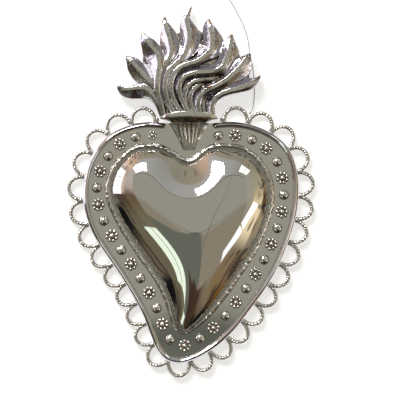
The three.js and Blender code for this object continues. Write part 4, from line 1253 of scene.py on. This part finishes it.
class VOTIVE_OT_fringe(bpy.types.Operator):
    """Scalloped wire fringe, soldered on in four lengths"""

    bl_idname = "votive.fringe"
    bl_label = "Scalloped fringe"

    def execute(self, context):
        s = sizes_of(context)
        finish = silver_finish(context, "fringe")
        edge = fine_outline(PLATE_OUTLINE, FINE_STEPS)
        path = smooth_path(edge_run(edge, s.fringe_left, s.fringe_right), count=2400)
        total = FRINGE_LENGTHS * LOOPS_PER_LENGTH
        out = -left_of(unit(np.gradient(path, axis=0)))
        feet = []
        for n in range(total + 1):
            share = n / total + FOOT_CROWDING * math.sin(2 * math.pi * n / total)
            at = min(int(round(share * (len(path) - 1))), len(path) - 1)
            feet.append((path[at], out[at]))
        for length_number in range(FRINGE_LENGTHS):
            first = length_number * LOOPS_PER_LENGTH
            last = first + LOOPS_PER_LENGTH
            loops = [self.loop(s, feet[n], feet[n + 1], n) for n in range(first, last)]
            points, faces = joined(loops + [self.foot(s, place) for place in feet[first:last + 1]])
            name = f"silver_fringe_{length_number + 1}"
            mesh = melted(context, name, points, faces, FRINGE_GRAIN, 1)
            # Darkened old silver and painted shade in the hollows of the wire and between the loops
            note_hollow_shade(mesh, passes=12, depth=0.12)
            settle(context, name, mesh, finish, [f"fringe_{length_number + 1}"], crease=180)
        return {"FINISHED"}

    def loop(self, s, start, end, number):
        """Half an ellipse of hammered wire between two feet."""
        root = FIT_GAP + 0.5 * s.fringe_wire
        a = start[0] + start[1] * root
        b = end[0] + end[1] * root
        half = (b - a) / 2
        half = half * (1 - 0.28 * s.fringe_wire / np.linalg.norm(half))
        reach = unit(np.array([half[1], -half[0]])) * (s.loop_reach - root)
        t = np.linspace(0, np.pi, 90)
        flat = (a + b) / 2 - np.cos(t)[:, None] * half + np.sin(t)[:, None] * reach
        path = at_height(flat, s.fringe_level)
        turns = np.linspace(0, 2 * np.pi, 14, endpoint=False)
        along = np.concatenate([[0], np.cumsum(np.linalg.norm(np.diff(path, axis=0), axis=1))])
        radii = [
            s.fringe_wire / 2
            * (1 + HAMMER_DEPTH * np.sin(2 * np.pi * far / HAMMER_PITCH + 2 * turns + number))
            for far in along
        ]
        return tube(path, radii, 14)

    def foot(self, s, place):
        """The solder foot that two loops share."""
        spot, out = place
        t = np.linspace(0, 1, 12)
        flat = spot + out * (FIT_GAP * 0.2 + t * 1.3 * s.fringe_wire)[:, None]
        path = at_height(flat, s.fringe_level)
        return tube(path, s.fringe_wire * (0.72 + 0.1 * np.sin(np.pi * t)), 16, flat=0.75)


class VOTIVE_OT_stem(bpy.types.Operator):
    """Fluted stem between the heart's cleft and the cup"""

    bl_idname = "votive.stem"
    bl_label = "Fluted stem"

    def execute(self, context):
        s = sizes_of(context)
        across, steps = 220, 48
        top_width = STEM_HIGH[0] - STEM_LOW[0]
        x = np.linspace(-1, 1, across)
        rings, shade = [], []
        for up in np.linspace(0, 1, steps):
            half = (s.stem_foot_width + (top_width - s.stem_foot_width) * up ** 1.25) / 2
            # Half width of the rounded, fluted middle as a share of the half width
            core = 0.86 - 0.3 * up
            rise = s.stem_rise * (STEM_FOOT + (1 - STEM_FOOT) * up ** 1.2)
            y = STEM_LOW[1] + (STEM_HIGH[1] - STEM_LOW[1]) * up
            side = np.minimum(1, (1 - np.abs(x)) * half / STEM_SIDE)
            bulge = np.sqrt(np.clip(1 - (x / core) ** 2, 0, 1))
            ridge = 0.5 + 0.5 * np.cos(np.pi * STEM_FLUTES * x / core)
            z = PLATE_TOP + rise * (0.05 + 0.4 * side + (0.35 + 0.2 * ridge) * bulge)
            top = np.column_stack([STEM_AXIS + x * half, np.full(across, y), z])
            foot = np.array([[STEM_AXIS + half, y, PLATE_TOP], [STEM_AXIS - half, y, PLATE_TOP]])
            rings.append(np.vstack([top, foot]))
            fluted = np.abs(x) < core
            # Painted shade in the flute grooves towards the top, under the scalloped top edge, along the
            # left edge and where the fluted middle meets the sides
            groove_shade = np.where(fluted, ease(ridge, 0.6, 0.1) * ease(up, 0.2, 0.7), 0)
            scallop_shade = ease(up + 0.12 * ridge * fluted, 0.9, 0.96)
            brim_shade = ease(-x, 0.8, 0.9) + ease(np.abs(np.abs(x) - core) * half, 0.9, 0.3)
            shade.append(np.append(np.clip(groove_shade + scallop_shade + 0.8 * brim_shade, 0, 1), [1, 1]))
        points, faces = capped(rings)
        hollow = np.concatenate([[1], *shade, [1]])
        settle_silver(context, "stem", points, faces, "stem", crease=60, hollow=hollow)
        return {"FINISHED"}


class VOTIVE_OT_cup(bpy.types.Operator):
    """Half saucer whose lip bows towards the flames"""

    bl_idname = "votive.cup"
    bl_label = "Cup"

    def execute(self, context):
        s = sizes_of(context)
        bow_depth = CUP_HIGH[1] - CUP_LOW[1] - s.cup_depth
        neck = s.cup_neck_width / 2
        floor = 1.2
        tall = CUP_HIGH[2] - CUP_LOW[2]
        # Way up the cup, half width, height and bow of the lip
        stations = smooth_path([
            (0, neck, 0.8, 0), (0.35, neck + 1.4, 0.86, 0), (0.72, CUP_HALF - 2.2, 0.95, 0),
            (0.9, CUP_HALF, 0.98, 0.05), (0.96, CUP_HALF, 1.0, 0.2), (1, CUP_HALF, 1.0, 0.9),
            (1, CUP_HALF - 0.4, 0.96, 1.0),
        ], count=60)
        turns = np.linspace(0, np.pi, 96)
        rings, shade = [], []
        for up, half, rise, bow in stations:
            x = STEM_AXIS - half * np.cos(turns)
            y = CUP_LOW[1] + s.cup_depth * up + bow_depth * bow * np.sin(turns)
            z = CUP_LOW[2] + floor + (tall - floor) * rise * np.sin(turns)
            top = np.column_stack([x, y, z])
            under = np.column_stack([x, y, np.full(len(turns), CUP_LOW[2])])
            rings.append(np.vstack([top, under[::-1]]))
            # Painted shade over the cup below its lip, fading where the lip bows out
            shade.append(np.full(len(rings[-1]), 1 - ease(bow, 0.02, 0.3)))
        points, faces = capped(rings)
        hollow = np.concatenate([[1], *shade, [1]])
        settle_silver(context, "cup", points, faces, "cup", hollow=hollow)
        return {"FINISHED"}


class VOTIVE_OT_flame(bpy.types.Operator):
    """Relief flame of nine tongues and two short strands"""

    bl_idname = "votive.flame"
    bl_label = "Flame"

    def execute(self, context):
        s = sizes_of(context)
        parts = [self.web(s)] + [self.tongue(s, stations) for stations in TONGUES]
        points, faces = joined(parts)
        cutter = self.cup_side(context, s)
        mesh = melted(context, "silver_flame", points, faces, FLAME_GRAIN, 3, cutter)
        bpy.data.objects.remove(cutter)
        # Painted shade at each tongue's tip, and darkened old silver and painted shade in the flame's
        # hollows
        tips = [np.add(stations[-1][:2], FLAME_FOOT) for stations in TONGUES]
        note_hollow_shade(mesh, passes=24, depth=0.18, tips=tips)
        finish = silver_finish(context, "flame")
        settle(context, "silver_flame", mesh, finish, ["flame"], crease=180)
        return {"FINISHED"}

    def tongue(self, s, stations):
        """One tongue: a flat crest ribbon with a scooped flank on either side."""
        rows = np.array(stations, float)
        rows[:, :2] += FLAME_FOOT
        path = smooth_path(rows, 16 * (len(rows) - 1))
        side = left_of(unit(np.gradient(path[:, :2], axis=0)))
        steps = np.linspace(0, 1, 21)[1:]
        fall = np.clip((steps - CREST_STEPS) / (1 - CREST_STEPS), 0, 1)
        rings = []
        for k, (x, y, left, right, high) in enumerate(path):
            peak = FLAME_BACK + s.flame_rise * high
            flanks = []
            for flank, steepest in ((left, LEFT_FALL), (right, RIGHT_FALL)):
                crest = min(CREST_HALF, CREST_SHARE * flank)
                slope = crest + (flank - crest) * fall
                across = np.where(steps < CREST_STEPS, crest * steps / CREST_STEPS, slope)
                drop = min(peak - FLAME_BACK - s.flame_edge, steepest * (flank - crest))
                flanks.append((across, peak - drop * (1 - (1 - fall) ** FLANK_HOLLOW)))
            (on_left, left_height), (on_right, right_height) = flanks
            across = np.concatenate([on_left[::-1], [0], -on_right])
            z = np.concatenate([left_height[::-1], [peak], right_height])
            flat = np.array([x, y]) + side[k] * across[:, None]
            top = np.column_stack([flat, z])
            under = np.column_stack([flat[[-1, 0]], np.full(2, FLAME_BACK)])
            rings.append(np.vstack([top, under]))
        return capped(rings)

    def web(self, s):
        """Thin ground between the tongues."""
        flat = (smooth_path(FLAME_WEB_OUTLINE, count=160, closed=True) + FLAME_FOOT)[::-1]
        return capped([at_height(flat, FLAME_BACK), at_height(flat, FLAME_BACK + s.flame_web)])

    def cup_side(self, context, s):
        """Everything on the stem's side of the cup's lip."""
        half = CUP_HALF + FIT_GAP
        below = CUP_LOW[1] - 10
        bow_depth = CUP_HIGH[1] - CUP_LOW[1] - s.cup_depth
        turns = np.linspace(0, np.pi, 60)
        lip = np.column_stack([
            STEM_AXIS - half * np.cos(turns),
            CUP_LOW[1] + s.cup_depth + bow_depth * np.sin(turns),
        ])
        flat = np.vstack([lip, [[STEM_AXIS + half, below], [STEM_AXIS - half, below]]])
        points, faces = capped([at_height(flat, -5), at_height(flat, 30)])
        cutter = bpy.data.objects.new("cup_side", make_mesh("cup_side", points, faces))
        context.scene.collection.objects.link(cutter)
        return cutter


# Panel and registration

STEPS = (
    VOTIVE_OT_stage,
    VOTIVE_OT_thread,
    VOTIVE_OT_plate,
    VOTIVE_OT_rim,
    VOTIVE_OT_moulding,
    VOTIVE_OT_heart,
    VOTIVE_OT_rosettes,
    VOTIVE_OT_bosses,
    VOTIVE_OT_fringe,
    VOTIVE_OT_stem,
    VOTIVE_OT_cup,
    VOTIVE_OT_flame,
)


class VOTIVE_PT_panel(bpy.types.Panel):
    """Sizes, colours and pieces of the heart"""

    bl_idname = "VOTIVE_PT_panel"
    bl_label = "Votive Heart"
    bl_space_type = "VIEW_3D"
    bl_region_type = "UI"
    bl_category = "Votive Heart"

    def draw(self, context):
        for group in (context.scene.votive_sizes, context.scene.votive_colours):
            box = self.layout.box()
            for key in group.__annotations__:
                box.prop(group, key)
        for step in STEPS:
            self.layout.operator(step.bl_idname)


CLASSES = (VotiveSizes, VotiveColours, *STEPS, VOTIVE_PT_panel)


def register():
    for cls in CLASSES:
        bpy.utils.register_class(cls)
    bpy.types.Scene.votive_sizes = bpy.props.PointerProperty(type=VotiveSizes)
    bpy.types.Scene.votive_colours = bpy.props.PointerProperty(type=VotiveColours)


def unregister():
    del bpy.types.Scene.votive_colours
    del bpy.types.Scene.votive_sizes
    for cls in reversed(CLASSES):
        bpy.utils.unregister_class(cls)


def main():
    register()
    for step in STEPS:
        family, name = step.bl_idname.split(".")
        getattr(getattr(bpy.ops, family), name)()


if __name__ == "__main__":
    main()
